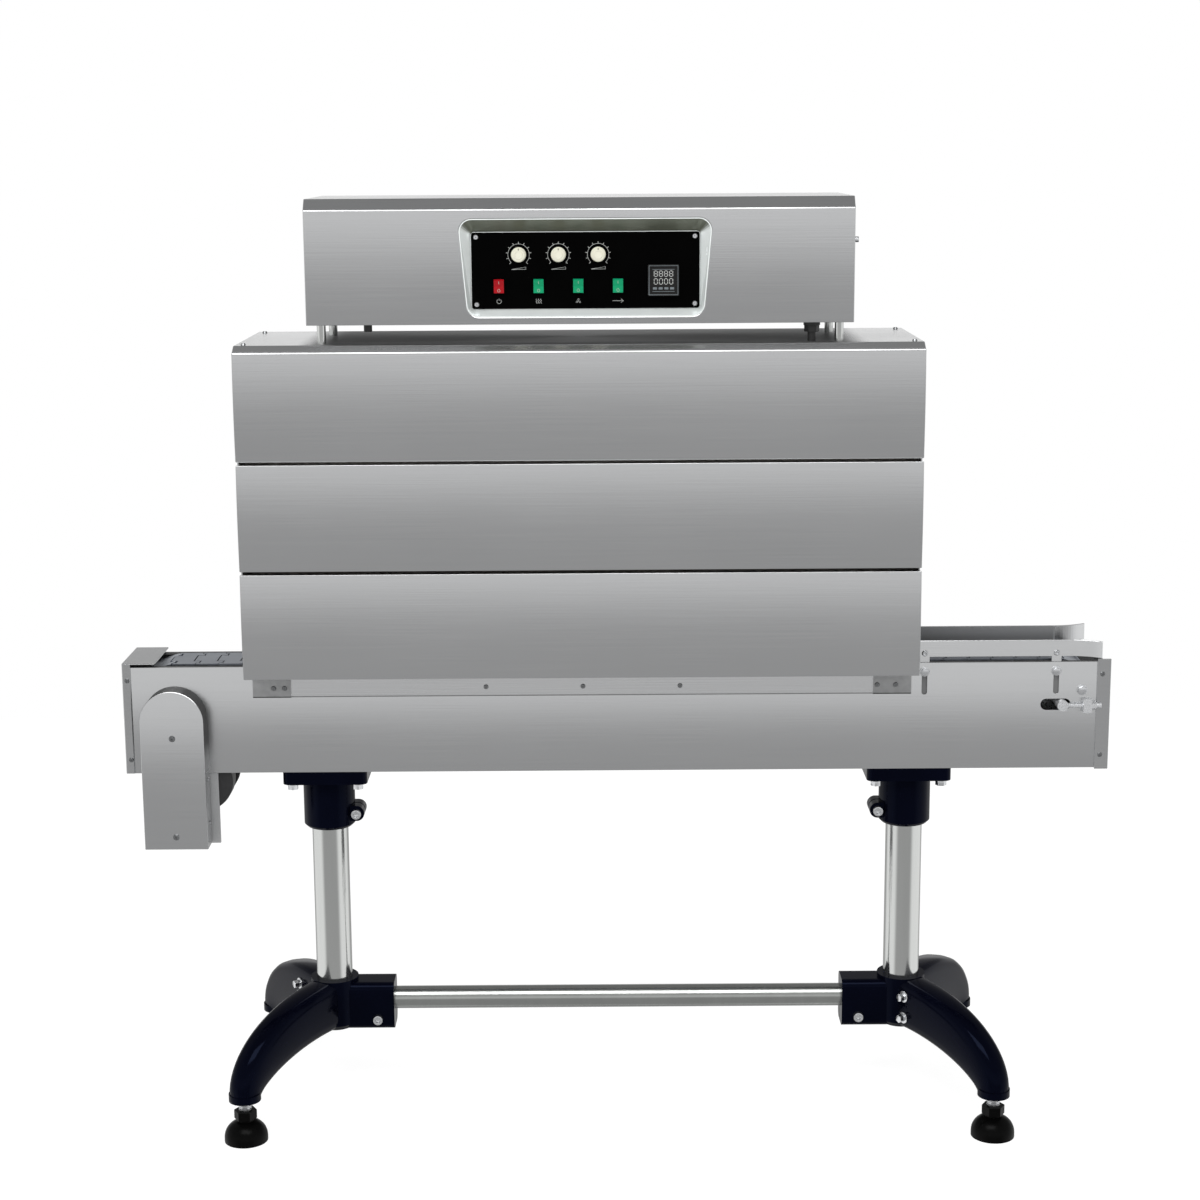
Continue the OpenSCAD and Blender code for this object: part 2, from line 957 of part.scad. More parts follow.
// Glands under the box: a cable gland that leads into the roof and a small blank one
module cable_glands() {
  color(panel_black) {
    translate([box_mid_x + box_width / 2 - gland_inset[1], gland_y, body_top]) {
      cylinder(d = gland_d, h = box_gap);
      translate([0, 0, box_gap - gland_flange[1] - gland_nut[1]])
        cylinder(d = gland_nut[0], h = gland_nut[1], $fn = 6);
      translate([0, 0, box_gap - gland_flange[1]])
        cylinder(d = gland_flange[0], h = gland_flange[1]);
    }
    translate([box_mid_x - box_width / 2 + gland_inset[0], gland_y, box_z - gland_blank])
      cylinder(d = gland_d, h = gland_blank);
  }
}

// Ring of the arm's loft: a superellipse across the arm's path
function arm_size(t) = [
  arm_root_size[0] + (arm_end_d - arm_root_size[0]) * t,
  arm_root_size[1] + (arm_end_d - arm_root_size[1]) * pow(t, arm_taper)
];
function soft(v, p) = sign(v) * pow(abs(v), 2 / p);
function arm_centre(a) = [
  arm_root + (arm_reach - arm_root) * sin(a),
  arm_end_z + ((hub_bottom + hub_top) / 2 - arm_end_z) * cos(a)
];
function arm_normal(a) =
  let (t = [
    (arm_reach - arm_root) * cos(a),
    -((hub_bottom + hub_top) / 2 - arm_end_z) * sin(a)
  ])
  [-t[1], t[0]] / norm(t);
function arm_ring(t) =
  let (c = arm_centre(90 * t), n = arm_normal(90 * t), size = arm_size(t), p = 3.8 - 1.8 * t)
  [
    for (i = [0:arm_sides - 1])
      let (
        a = 360 * i / arm_sides,
        across = soft(cos(a), p) * size[0] / 2,
        out = soft(sin(a), p) * size[1] / 2
      )
      [c[0] + n[0] * out, across, c[1] + n[1] * out]
  ];

// Curved arm of a cast base, along +X from the post's axis
module arm() {
  points = [for (k = [0:arm_rings]) each arm_ring(k / arm_rings)];
  faces = [
    [for (i = [0:arm_sides - 1]) i],
    for (k = [0:arm_rings - 1], i = [0:arm_sides - 1])
      let (j = (i + 1) % arm_sides, a = k * arm_sides, b = (k + 1) * arm_sides)
      [a + i, b + i, b + j, a + j],
    [for (i = [arm_sides - 1:-1:0]) arm_rings * arm_sides + i]
  ];
  polyhedron(points, faces, convexity = 4);
  translate([arm_reach, 0, arm_end_z])
    cylinder(d = arm_boss[0], h = arm_boss[1]);
}

// Cast base of the right post: hub, cross tube socket turned to the middle, two arms
module base_casting() {
  hub_height = hub_top - hub_bottom;
  difference() {
    union() {
      translate([0, 0, hub_bottom])
        rotate_extrude()
          polygon([
            [0, 0], [hub_d / 2 - hub_chamfer, 0], [hub_d / 2, hub_chamfer],
            [hub_d / 2, hub_height], [0, hub_height]
          ]);
      translate([-block_reach, 0, 0])
        rotate([90, 0, 90])
          linear_extrude(block_reach)
            translate([0, hub_bottom + block_height / 2])
              round_rect([block_depth, block_height], 12);
      for (s = [-1, 1])
        rotate([0, 0, s * arm_turn])
          arm();
    }
    translate([0, 0, hub_bottom + 12])
      cylinder(d = post_d + 2 * fit, h = hub_height);
    translate([-block_reach - eps, 0, tube_z])
      rotate([0, 90, 0])
        cylinder(d = tube_d + 2 * fit, h = block_reach - post_d / 2 - 6);
    // Split of the tube clamp
    translate([-block_reach - eps, -1.5, hub_bottom - eps])
      cube([50, 3, tube_z - hub_bottom]);
  }
}

module right_base() {
  color(cast_black)
    translate([post_x, 0, 0])
      base_casting();
}

module left_base() {
  color(cast_black)
    translate([-post_x, 0, 0])
      mirror([1, 0, 0])
        base_casting();
}

module post(x) {
  wall = 3;
  bottom = hub_bottom + 12;
  color(bright_steel)
    translate([x, 0, bottom])
      difference() {
        cylinder(d = post_d, h = side_bottom - bottom - 2);
        translate([0, 0, -eps])
          cylinder(d = post_d - 2 * wall, h = side_bottom - bottom + eps);
      }
}

module left_post() {
  post(-post_x);
}

module right_post() {
  post(post_x);
}

module cross_tube() {
  reach = post_x - post_d / 2 - 8;
  wall = 2;
  color(bright_steel)
    translate([-reach, 0, tube_z])
      rotate([0, 90, 0])
        difference() {
          cylinder(d = tube_d, h = 2 * reach);
          translate([0, 0, -eps])
            cylinder(d = tube_d - 2 * wall, h = 2 * reach + 2 * eps);
        }
}

// Flanged socket under the conveyor with a split clamp turned to the middle of the stand
module top_socket() {
  lug_r = 13;
  lug_reach = socket_d / 2 + 4;
  lug_width = 44;
  round_edge = 5;
  split = [3, side_bottom - flange_thick - socket_bottom - 14];
  color(cast_black)
    difference() {
      union() {
        translate([0, 0, side_bottom - flange_thick])
          linear_extrude(flange_thick)
            round_rect(flange_size, 12);
        translate([0, 0, socket_bottom])
          rotate_extrude()
            polygon([
              [0, 0], [socket_d / 2 - round_edge, 0], [socket_d / 2, round_edge],
              [socket_d / 2, side_bottom - socket_bottom - eps], [0, side_bottom - socket_bottom - eps]
            ]);
        along_y(-lug_width / 2, lug_width)
          translate([-lug_reach, clamp_z]) {
            circle(lug_r);
            translate([0, -lug_r])
              square([lug_reach, 2 * lug_r]);
          }
      }
      translate([0, 0, socket_bottom - eps])
        cylinder(d = post_d + 2 * fit, h = side_bottom - socket_bottom + 2 * eps);
      translate([-lug_reach - lug_r - eps, -split[0] / 2, socket_bottom - eps])
        cube([lug_reach + lug_r, split[0], split[1]]);
    }
}

module right_top_socket() {
  translate([post_x, 0, 0])
    top_socket();
}

module left_top_socket() {
  translate([-post_x, 0, 0])
    mirror([1, 0, 0])
      top_socket();
}

// Places its children under the four arm ends
module at_feet() {
  for (sx = [-1, 1], sy = [-1, 1])
    translate([sx * (post_x + foot_out), sy * foot_reach, 0])
      children();
}

module foot_studs() {
  color(zinc)
    at_feet()
      translate([0, 0, pad_height + nut_height])
        cylinder(d = stud_d, h = arm_end_z - pad_height - nut_height);
}

// Domed pads, each with a neck and a hexagon collar on top
module foot_pads() {
  brim = 7;
  dome_r = 27;
  neck_r = 13;
  color(cast_black)
    at_feet() {
      rotate_extrude() {
        square([pad_d / 2, brim]);
        intersection() {
          translate([pad_d / 2 - dome_r, brim])
            circle(dome_r);
          square([pad_d / 2, brim + dome_r]);
        }
        square([neck_r, pad_height + eps]);
      }
      translate([0, 0, pad_height])
        cylinder(d = nut_flats / cos(30), h = nut_height, $fn = 6);
    }
}

front_side_plate();
rear_side_plate();
left_end_cover();
right_end_cover();
slat_chain();
chain_tracks();
cross_ties();
head_shaft();
tail_shaft();
front_guide_rail();
rear_guide_rail();
take_up_screws();
drive_cover();
gearbox();
motor();
upper_hood();
middle_front_panel();
lower_front_panel();
middle_rear_panel();
lower_rear_panel();
left_end_frame();
right_end_frame();
chamber_walls();
chamber_ceiling();
mount_rails();
control_box();
box_back_cover();
panel_tray();
panel_plate();
switch_frames();
temperature_controller();
left_knob();
middle_knob();
right_knob();
red_rocker();
left_green_rocker();
middle_green_rocker();
right_green_rocker();
box_standoffs();
cable_glands();
left_base();
right_base();
left_post();
right_post();
cross_tube();
left_top_socket();
right_top_socket();
foot_studs();
foot_pads();
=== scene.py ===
import json
import math
import bpy
import bmesh
from mathutils import Matrix, Vector


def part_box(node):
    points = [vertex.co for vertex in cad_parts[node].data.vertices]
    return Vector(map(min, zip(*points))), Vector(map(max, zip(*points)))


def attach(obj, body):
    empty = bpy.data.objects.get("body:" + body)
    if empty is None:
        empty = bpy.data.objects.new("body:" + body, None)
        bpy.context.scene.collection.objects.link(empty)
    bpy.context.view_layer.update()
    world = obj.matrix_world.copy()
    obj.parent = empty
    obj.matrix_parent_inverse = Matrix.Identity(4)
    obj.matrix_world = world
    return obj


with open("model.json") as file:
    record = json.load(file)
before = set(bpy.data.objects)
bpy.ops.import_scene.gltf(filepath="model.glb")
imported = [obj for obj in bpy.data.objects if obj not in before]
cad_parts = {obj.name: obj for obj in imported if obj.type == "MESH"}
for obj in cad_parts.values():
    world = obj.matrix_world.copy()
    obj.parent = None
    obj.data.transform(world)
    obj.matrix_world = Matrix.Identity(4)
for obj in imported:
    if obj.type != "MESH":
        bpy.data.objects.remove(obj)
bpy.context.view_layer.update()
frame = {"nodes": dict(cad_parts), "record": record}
nodes = frame["nodes"]
slotOf = {row["node"]: row["material_slot"] for row in frame["record"]["subparts"]}
scene = bpy.context.scene
scene.view_settings.view_transform = "Standard"
print("frame loaded:", len(nodes), "nodes")

# camera in front of the machine, a little above the control box
eyeSet = {"spot": (-0.026, -3.670, 1.579), "down": 11.23, "roll": -0.37, "lens": 68.5, "sensor": 36}
eyeData = bpy.data.cameras.new("eye")
eyeData.lens = eyeSet["lens"]
eyeData.sensor_width = eyeSet["sensor"]
eye = bpy.data.objects.new("eye", eyeData)
eye.matrix_world = (
    Matrix.Translation(eyeSet["spot"])
    @ Matrix.Rotation(math.radians(90 - eyeSet["down"]), 4, "X")
    @ Matrix.Rotation(math.radians(eyeSet["roll"]), 4, "Z")
)
scene.collection.objects.link(eye)
scene.camera = eye
print("camera placed")


class Wire:
    # a node socket that takes part in plain arithmetic
    def __init__(self, tree, socket=None):
        self.tree = tree
        self.socket = socket

    def node(self, kind, settings=None, sockets=None, out=0):
        made = self.tree.nodes.new(kind)
        for key, value in (settings or {}).items():
            setattr(made, key, value)
        for key, value in (sockets or {}).items():
            for each in value if isinstance(value, list) else [value]:
                if isinstance(each, Wire):
                    self.tree.links.new(each.socket, made.inputs[key])
                else:
                    made.inputs[key].default_value = each
        return Wire(self.tree, made.outputs[out]) if made.outputs else made

    def maths(self, operation, first, second=0.0):
        return self.node("ShaderNodeMath", {"operation": operation}, {0: first, 1: second})

    def __add__(self, other):
        return self.maths("ADD", self, other)

    def __sub__(self, other):
        return self.maths("SUBTRACT", self, other)

    def __rsub__(self, other):
        return self.maths("SUBTRACT", other, self)

    def __mul__(self, other):
        return self.maths("MULTIPLY", self, other)

    def __truediv__(self, other):
        return self.maths("DIVIDE", self, other)

    def __abs__(self):
        return self.maths("ABSOLUTE", self)

    __radd__ = __add__
    __rmul__ = __mul__

    def between(self, low, high):
        # smooth 0 to 1 as the value passes from low to high
        return self.node(
            "ShaderNodeMapRange", {"interpolation_type": "SMOOTHSTEP"}, {0: self, 1: low, 2: high}
        )

    def blend(self, first, second):
        # colour from first to second, with this value as the share
        return self.node("ShaderNodeMix", {"data_type": "RGBA"}, {0: self, 6: first, 7: second}, 2)

    def mixed(self, first, second):
        # number from first to second, with this value as the share
        return self.node("ShaderNodeMix", {"data_type": "FLOAT"}, {0: self, 2: first, 3: second})

    def grain(self, stretch, detail):
        placed = self.node("ShaderNodeMapping", {}, {"Vector": self, "Scale": stretch})
        return self.node("ShaderNodeTexNoise", {}, {"Vector": placed, "Scale": 1.0, "Detail": detail})

    def bumped(self, strength, distance):
        return self.node(
            "ShaderNodeBump", {}, {"Strength": strength, "Distance": distance, "Height": self}
        )

    def axis(self, name):
        return self.node("ShaderNodeSeparateXYZ", {}, {0: self}, name)

    def normal(self, name):
        # how far the surface faces along one axis
        return self.node("ShaderNodeNewGeometry", out="Normal").axis(name)

    def point(self, x=0.0, y=0.0, z=0.0):
        return self.node("ShaderNodeCombineXYZ", {}, {0: x, 1: y, 2: z})


def finish(name, paint):
    made = bpy.data.materials.new(name)
    made.use_nodes = True
    tree = made.node_tree
    shader = tree.nodes["Principled BSDF"]
    place = Wire(tree).node("ShaderNodeTexCoord", out="Object")
    for key, value in paint(place).items():
        if isinstance(value, Wire):
            tree.links.new(value.socket, shader.inputs[key])
        else:
            shader.inputs[key].default_value = value
    return made


def grey(level, cool=0.0):
    return (level - cool, level, level + cool, 1)


# metals
sheetSet = {"along": (5, 1100, 1100), "ends": (1100, 5, 1100), "broad": (1.2, 160, 160), "smudge": (5, 5, 5),
            "scratch": 0.00005, "cool": 0.006, "shadeGrey": 0.035}


def brushed(low, high, rough, crown=None, paintedShade=None):
    # sheet with a fine grain along its length, and across on the end faces
    def paint(place):
        side = abs(place.normal("X")).between(0.5, 0.8)
        flat = place.normal("Z").between(0.90, 0.99)  # tops keep more of the polish
        fine = side.mixed(place.grain(sheetSet["along"], 2), place.grain(sheetSet["ends"], 2))
        broad = place.grain(sheetSet["broad"], 2)
        smudge = place.grain(sheetSet["smudge"], 3)
        height = fine * sheetSet["scratch"]
        if crown:
            height = height + crown(place)
        tone = fine * 0.6 + broad * 0.2 + smudge * 0.2
        look = {
            "Base Color": tone.blend(grey(low, sheetSet["cool"]), grey(high, sheetSet["cool"])),
            "Metallic": 1.0,
            "Roughness": rough + fine * 0.07 + smudge * 0.06 - flat * 0.09,
            "Normal": height.bumped(1.0, 1.0),
            "Anisotropic": 0.35,
        }
        # painted shade: where the mask is high the colour goes to a dark grey, with less metal and more
        # roughness
        if paintedShade:
            shadeShare = paintedShade(place)
            look["Base Color"] = shadeShare.blend(look["Base Color"], grey(sheetSet["shadeGrey"]))
            look["Metallic"] = 1.0 - shadeShare * 0.6
            look["Roughness"] = look["Roughness"] + shadeShare * 0.45
        return look

    return paint


def bowed(middle, bow):
    # the sheet bulges a little: its face leans back above the middle and forward below it
    def crown(place):
        level = place.axis("Z") - middle
        return level * level * -bow

    return crown


roofSet = {"flatEnd": 0.137, "rollFrom": 0.150, "rim": 0.157, "lean": 0.21, "roll": 32}


def roofLean(place):
    # the two folds of the roof are rolled further over than the flats beside them,
    # most of all at the outer edge
    out = place.maths("MINIMUM", abs(place.axis("Y")), roofSet["rim"])
    edge = place.maths("MAXIMUM", out, roofSet["rollFrom"]) - roofSet["rollFrom"]
    fold = place.maths("MAXIMUM", out, roofSet["flatEnd"])
    return fold * -roofSet["lean"] - edge * edge * roofSet["roll"]


def roofShade(place):
    # painted shade and painted reflection of the box's dark underside on the roof under the control box,
    # darkest along its front edge
    x, y, z = place.axis("X"), place.axis("Y"), place.axis("Z")
    covered = x.between(-0.500, -0.430) * (1 - x.between(0.330, 0.400)) * z.between(1.2795, 1.2805)
    return covered * (0.72 + (1 - y.between(-0.138, -0.085)) * 0.27)


def railShadowsAndPads(place):
    # painted shadow lines along the rail's edges, under the body above and at its foot below; darker, duller
    # pads at its ends
    x, y, z = place.axis("X"), place.axis("Y"), place.axis("Z")
    edges = (1 - z.between(0.7056, 0.7078)) * 0.7 + z.between(0.7515, 0.7555) * 0.9
    pads = abs(x + 0.056).between(0.4712, 0.4728) * abs(y).between(0.0632, 0.0640)
    return edges + pads * (0.30 + place.grain((60, 60, 60), 3) * 0.30)


def coverRimShade(place):
    # painted shade on the wall of the round top
    wall = 1 - abs(place.normal("Y")).between(0.4, 0.7)
    return wall * place.axis("Z").between(0.58, 0.64) * 0.96


def troughShade(place):
    # painted shade on the inside of the side plates, where the chain runs, uneven in tone
    inside = 1 - abs(place.axis("Y")).between(0.0578, 0.0592)
    return inside * (0.78 + place.grain((30, 30, 30), 3) * 0.2)


def strapShade(place):
    # painted shade on the straps inside the side plates
    return (1 - place.axis("Z").between(0.7535, 0.7570)) * 0.72


def innerShade(place):
    # painted shade on the far rail's inner face, lighter towards its top, with the painted shade of the
    # straps below
    inward = 1 - place.normal("Y").between(-0.9, -0.5)
    straight = 1 - place.axis("X").between(0.728, 0.734)
    wearAndShade = 0.82 - place.axis("Z").between(0.764, 0.791) * 0.35
    return strapShade(place) + inward * straight * wearAndShade


def polishedTube(low, high, rough):
    def paint(place):
        drawn = place.grain((40, 40, 3), 3)
        haze = place.grain((12, 12, 12), 3)
        return {
            "Base Color": drawn.blend((low, low + 0.01, low, 1), (high, high + 0.01, high, 1)),
            "Metallic": 1.0,
            "Roughness": rough + haze * 0.08,
            "Normal": drawn.bumped(0.02, 0.0002),
        }

    return paint


def satinTray(place):
    # pressed sheet, polished by hand, with a little bloom in the corners
    drawn = place.grain((25, 120, 25), 3)
    haze = place.grain((30, 30, 30), 3)
    downFlankShade = 1 - place.normal("Z").between(-0.55, -0.10)  # painted shade on the flank that faces down
    bright = haze.blend((0.72, 0.76, 0.75, 1), (0.82, 0.86, 0.85, 1))
    return {
        "Base Color": downFlankShade.blend(bright, (0.10, 0.108, 0.082, 1)),
        "Metallic": 0.35,
        "Roughness": 0.20 + drawn * 0.10,
        "Normal": drawn.bumped(0.05, 0.0003),
    }


def slatSteel(place):
    wearAndShade = place.grain((3, 400, 60), 3)
    haze = place.grain((30, 30, 30), 3)
    return {
        "Base Color": wearAndShade.blend((0.30, 0.33, 0.38, 1), (0.43, 0.46, 0.51, 1)),
        "Metallic": 1.0,
        "Roughness": 0.24 + haze * 0.16,
        "Normal": wearAndShade.bumped(0.05, 0.0002),
    }


def linerSteel(place):
    fine = place.grain((5, 300, 300), 3)
    tint = place.grain((3, 3, 3), 3)
    return {
        "Base Color": tint.blend((0.40, 0.37, 0.32, 1), (0.52, 0.51, 0.49, 1)),
        "Metallic": 1.0,
        "Roughness": 0.30 + fine * 0.12,
        "Normal": fine.bumped(0.04, 0.0002),
    }


def zincPlate(low, high, metal=1.0):
    def paint(place):
        spangle = place.grain((260, 260, 260), 3)
        return {
            "Base Color": spangle.blend((low, low + 0.01, low + 0.03, 1),
                                        (high, high + 0.01, high + 0.02, 1)),
            "Metallic": metal,
            "Roughness": 0.20 + spangle * 0.16,
            "Normal": spangle.bumped(0.04, 0.0003),
        }

    return paint


def gearGrey(place):
    # bare plate in front, dark gear head behind it
    cast = place.grain((350, 350, 350), 4)
    ahead = 1 - place.axis("Y").between(-0.0560, -0.0535)
    head = cast.blend((0.008, 0.008, 0.009, 1), (0.020, 0.020, 0.021, 1))
    plate = cast.blend((0.40, 0.405, 0.41, 1), (0.52, 0.525, 0.53, 1))
    return {
        "Base Color": ahead.blend(head, plate),
        "Metallic": ahead * 0.85,
        "Roughness": 0.36 + cast * 0.16,
        "Normal": cast.bumped(0.12, 0.0004),
    }


# paints and mouldings
def motorGrey(place):
    peel = place.grain((300, 300, 300), 3)
    dust = place.grain((18, 18, 18), 3)
    return {
        "Base Color": dust.blend((0.003, 0.003, 0.004, 1), (0.008, 0.008, 0.009, 1)),
        "Roughness": 0.30 + dust * 0.12,
        "IOR": 1.02,
        "Normal": peel.bumped(0.10, 0.0004),
    }


def castBlack(place):
    peel = place.grain((130, 130, 130), 2)
    haze = place.grain((9, 9, 9), 3)
    return {
        "Base Color": haze.blend((0.0006, 0.0007, 0.0018, 1), (0.0016, 0.0020, 0.0066, 1)),
        "Roughness": 0.08 + haze * 0.07,
        "Normal": peel.bumped(0.04, 0.0005),
        "IOR": 1.14,
        "Specular Tint": (0.40, 0.52, 1.0, 1),
    }


def moulded(dark, light, rough, scale=500, shine=0.5):
    def paint(place):
        skin = place.grain((scale, scale, scale), 3)
        haze = place.grain((25, 25, 25), 3)
        return {
            "Base Color": haze.blend(dark, light),
            "Roughness": rough + skin * 0.10 + haze * 0.05,
            "Normal": skin.bumped(0.06, 0.0002),
            "Specular IOR Level": shine,
        }

    return paint


sheetGreys, railGreys = (0.49, 0.56), (0.52, 0.60)
ivoryPair = (0.52, 0.51, 0.42, 1), (0.62, 0.61, 0.51, 1)
redPair = (0.22, 0.002, 0.005, 1), (0.33, 0.005, 0.010, 1)
greenPair = (0.0015, 0.19, 0.080, 1), (0.005, 0.28, 0.125, 1)
finishes = {
    "brushed_steel": finish("brushedSteel", brushed(*sheetGreys, 0.17)),
    "polished_steel": finish("polishedTube", polishedTube(0.50, 0.60, 0.10)),
    "slat_steel": finish("slatSteel", slatSteel),
    "liner_steel": finish("linerSteel", linerSteel),
    "zinc": finish("zincPlate", zincPlate(0.52, 0.72)),
    "gear_grey": finish("gearGrey", gearGrey),
    "motor_grey": finish("motorGrey", motorGrey),
    "cast_black": finish("castBlack", castBlack),
    "foot_black": finish("footBlack", moulded(grey(0.0008), grey(0.0022), 0.22, 500, 0.05)),
    "track_black": finish("trackBlack", moulded(grey(0.008), grey(0.018), 0.45)),
    "panel_black": finish("panelBlack", moulded(grey(0.0003), grey(0.0009), 0.30, 700, 0.012)),
    "meter_black": finish("meterBlack", moulded(grey(0.004), grey(0.009), 0.32, 700, 0.2)),
    "gland_black": finish("glandBlack", moulded(grey(0.006), grey(0.014), 0.35)),
    "ivory": finish("ivoryKnob", moulded(*ivoryPair, 0.30, 400)),
    "signal_red": finish("signalRed", moulded(*redPair, 0.22, 400, 0.2)),
    "signal_green": finish("signalGreen", moulded(*greenPair, 0.22, 400, 0.2)),
}
# finishes for single nodes; each sheet has the bow that gives its shading in the photo's view
brightZinc = zincPlate(0.60, 0.70, 0.72)
# the hood, side plates, drive cover, mount rails and guide rails also carry painted shade
ownFinish = {
    "control_box": finish("boxSteel", brushed(*sheetGreys, 0.16, bowed(1.412, 0.36))),
    "upper_hood": finish("hoodSteel", brushed(*sheetGreys, 0.17, roofLean, roofShade)),
    "middle_front_panel": finish("middleSteel", brushed(*sheetGreys, 0.17, bowed(0.80, 0.04))),
    "lower_front_panel": finish("lowerSteel", brushed(*sheetGreys, 0.17, bowed(0.44, 0.05))),
    "panel_tray": finish("satinTray", satinTray),
    "front_side_plate": finish("sideSteel", brushed(*sheetGreys, 0.17, bowed(0.5886, 0.595), troughShade)),
    "take_up_screws": finish("brightZinc", brightZinc),
    "tail_shaft": finish("shaftEnds", brightZinc),
    "cross_tube": finish("tieTube", polishedTube(0.33, 0.39, 0.17)),
    "drive_cover": finish("coverSteel", brushed(*sheetGreys, 0.17, bowed(0.508, 0.427), coverRimShade)),
    "mount_rails": finish("mountSteel", brushed(0.51, 0.58, 0.19, bowed(-0.24, 0.05), railShadowsAndPads)),
    "front_guide_rail": finish("railSteel", brushed(*railGreys, 0.14, bowed(-0.40, 0.05), strapShade)),
    "rear_guide_rail": finish("farRailSteel", brushed(*railGreys, 0.14, None, innerShade)),
}
for name in ("rear_side_plate", "middle_rear_panel", "lower_rear_panel"):
    ownFinish[name] = ownFinish[name.replace("rear", "front")]
whitePair = (0.30, 0.31, 0.30, 1), (0.42, 0.43, 0.42, 1)
slatePair = (0.10, 0.12, 0.13, 1), (0.16, 0.18, 0.19, 1)
markPair = (0.30, 0.33, 0.30, 1), (0.40, 0.43, 0.40, 1)
printWhite = finish("printWhite", moulded(*whitePair, 0.45, 900, 0.2))
printGrey = finish("printGrey", moulded(*slatePair, 0.40, 900, 0.2))
rockerMark = finish("rockerMark", moulded(*markPair, 0.35, 900, 0.2))
screwSteel = finish("screwSteel", brushed(0.20, 0.34, 0.24))
pointerBlack = finish("pointerBlack", moulded(grey(0.010), grey(0.020), 0.40))
for name, piece in nodes.items():
    for holder in piece.material_slots:
        holder.material = ownFinish.get(name, finishes[slotOf[name]])
print("finishes:", len(bpy.data.materials))

# soft edges on the sheet metal and the castings: bevel width and nodes
edgeSet = {
    "fold": (0.0028, ["control_box"]),
    "roof": (0.0015, ["upper_hood"]),
    "bend": (0.0012, ["box_back_cover", "middle_front_panel", "lower_front_panel", "middle_rear_panel",
                      "lower_rear_panel", "drive_cover", "left_end_cover"]),
    "cut": (0.0005, ["front_side_plate", "rear_side_plate", "right_end_cover", "mount_rails", "gearbox",
                     "front_guide_rail", "rear_guide_rail", "switch_frames", "temperature_controller",
                     "foot_studs", "take_up_screws", "cable_glands"]),
    "cast": (0.0025, ["left_top_socket", "right_top_socket"]),
    "loft": (0.0025, ["left_base", "right_base"]),
}
softSet = {"weld": 0.00001, "flat": 0.4, "steps": 2, "angle": 32}


def addBevel(piece, width, angle):
    bevel = piece.modifiers.new("edge", "BEVEL")
    bevel.width = width
    bevel.segments = softSet["steps"]
    bevel.limit_method = "ANGLE"
    bevel.angle_limit = math.radians(angle)


def softenEdges(piece, width, lofted):
    # the lofted arms keep all their facets, shaded smooth
    weld = piece.modifiers.new("weld", "WELD")
    weld.merge_threshold = softSet["weld"]
    if lofted:
        piece.data.shade_smooth()
    else:
        flat = piece.modifiers.new("flat", "DECIMATE")
        flat.decimate_type = "DISSOLVE"
        flat.angle_limit = math.radians(softSet["flat"])
    addBevel(piece, width, softSet["angle"])
    normals = piece.modifiers.new("normals", "WEIGHTED_NORMAL")
    normals.keep_sharp = True


for kind, (width, names) in edgeSet.items():
    for name in names:
        softenEdges(nodes[name], width, kind == "loft")
print("edges softened")


# Geometry Nodes: a plan is a tree with named inputs, grown on the points of a mesh
def newPlan(name, inputs):
    tree = bpy.data.node_groups.new(name, "GeometryNodeTree")
    tree.interface.new_socket("Geometry", in_out="INPUT", socket_type="NodeSocketGeometry")
    kinds = {float: "NodeSocketFloat", int: "NodeSocketInt"}
    for label, value in inputs.items():
        socket = tree.interface.new_socket(label, in_out="INPUT", socket_type=kinds[type(value)])
        socket.default_value = value
    tree.interface.new_socket("Finish", in_out="INPUT", socket_type="NodeSocketMaterial")
    tree.interface.new_socket("Geometry", in_out="OUTPUT", socket_type="NodeSocketGeometry")
    given = tree.nodes.new("NodeGroupInput")
    return {socket.name: Wire(tree, socket) for socket in given.outputs if socket.name}


def closePlan(given, shape):
    plain = shape.node("GeometryNodeRealizeInstances", {}, {0: shape})
    dressed = plain.node("GeometryNodeSetMaterial", {}, {"Geometry": plain, "Material": given["Finish"]})
    dressed.node("NodeGroupOutput", {}, {0: dressed})
    return shape.tree


def onPoints(given, shape, seed=None):
    # the shape on each point, turned and scaled by the point's own attributes; a seed rolls each one
    draw = given["Geometry"]
    turn = draw.node("GeometryNodeInputNamedAttribute", {"data_type": "FLOAT_VECTOR"}, {"Name": "turn"})
    size = draw.node("GeometryNodeInputNamedAttribute", {"data_type": "FLOAT"}, {"Name": "size"})
    turned = draw.node("FunctionNodeEulerToRotation", {}, {0: turn})
    if seed is not None:
        roll = draw.node("FunctionNodeRandomValue", {"data_type": "FLOAT"}, {2: 0.0, 3: 6.283, 8: seed}, 1)
        rolled = draw.node("FunctionNodeAxisAngleToRotation", {}, {0: (0, 0, 1), 1: roll})
        turned = draw.node("FunctionNodeRotateRotation", {"rotation_space": "LOCAL"}, {0: turned, 1: rolled})
    return draw.node(
        "GeometryNodeInstanceOnPoints", {},
        {"Points": draw, "Instance": shape, "Rotation": turned, "Scale": draw.point(size, size, size)},
    )


def lifted(shape, height):
    return shape.node("GeometryNodeTransform", {}, {
        "Geometry": shape, "Translation": shape.point(0, 0, height)})


headSet = {"sunk": 0.0003, "washerSides": 28, "seed": 7}


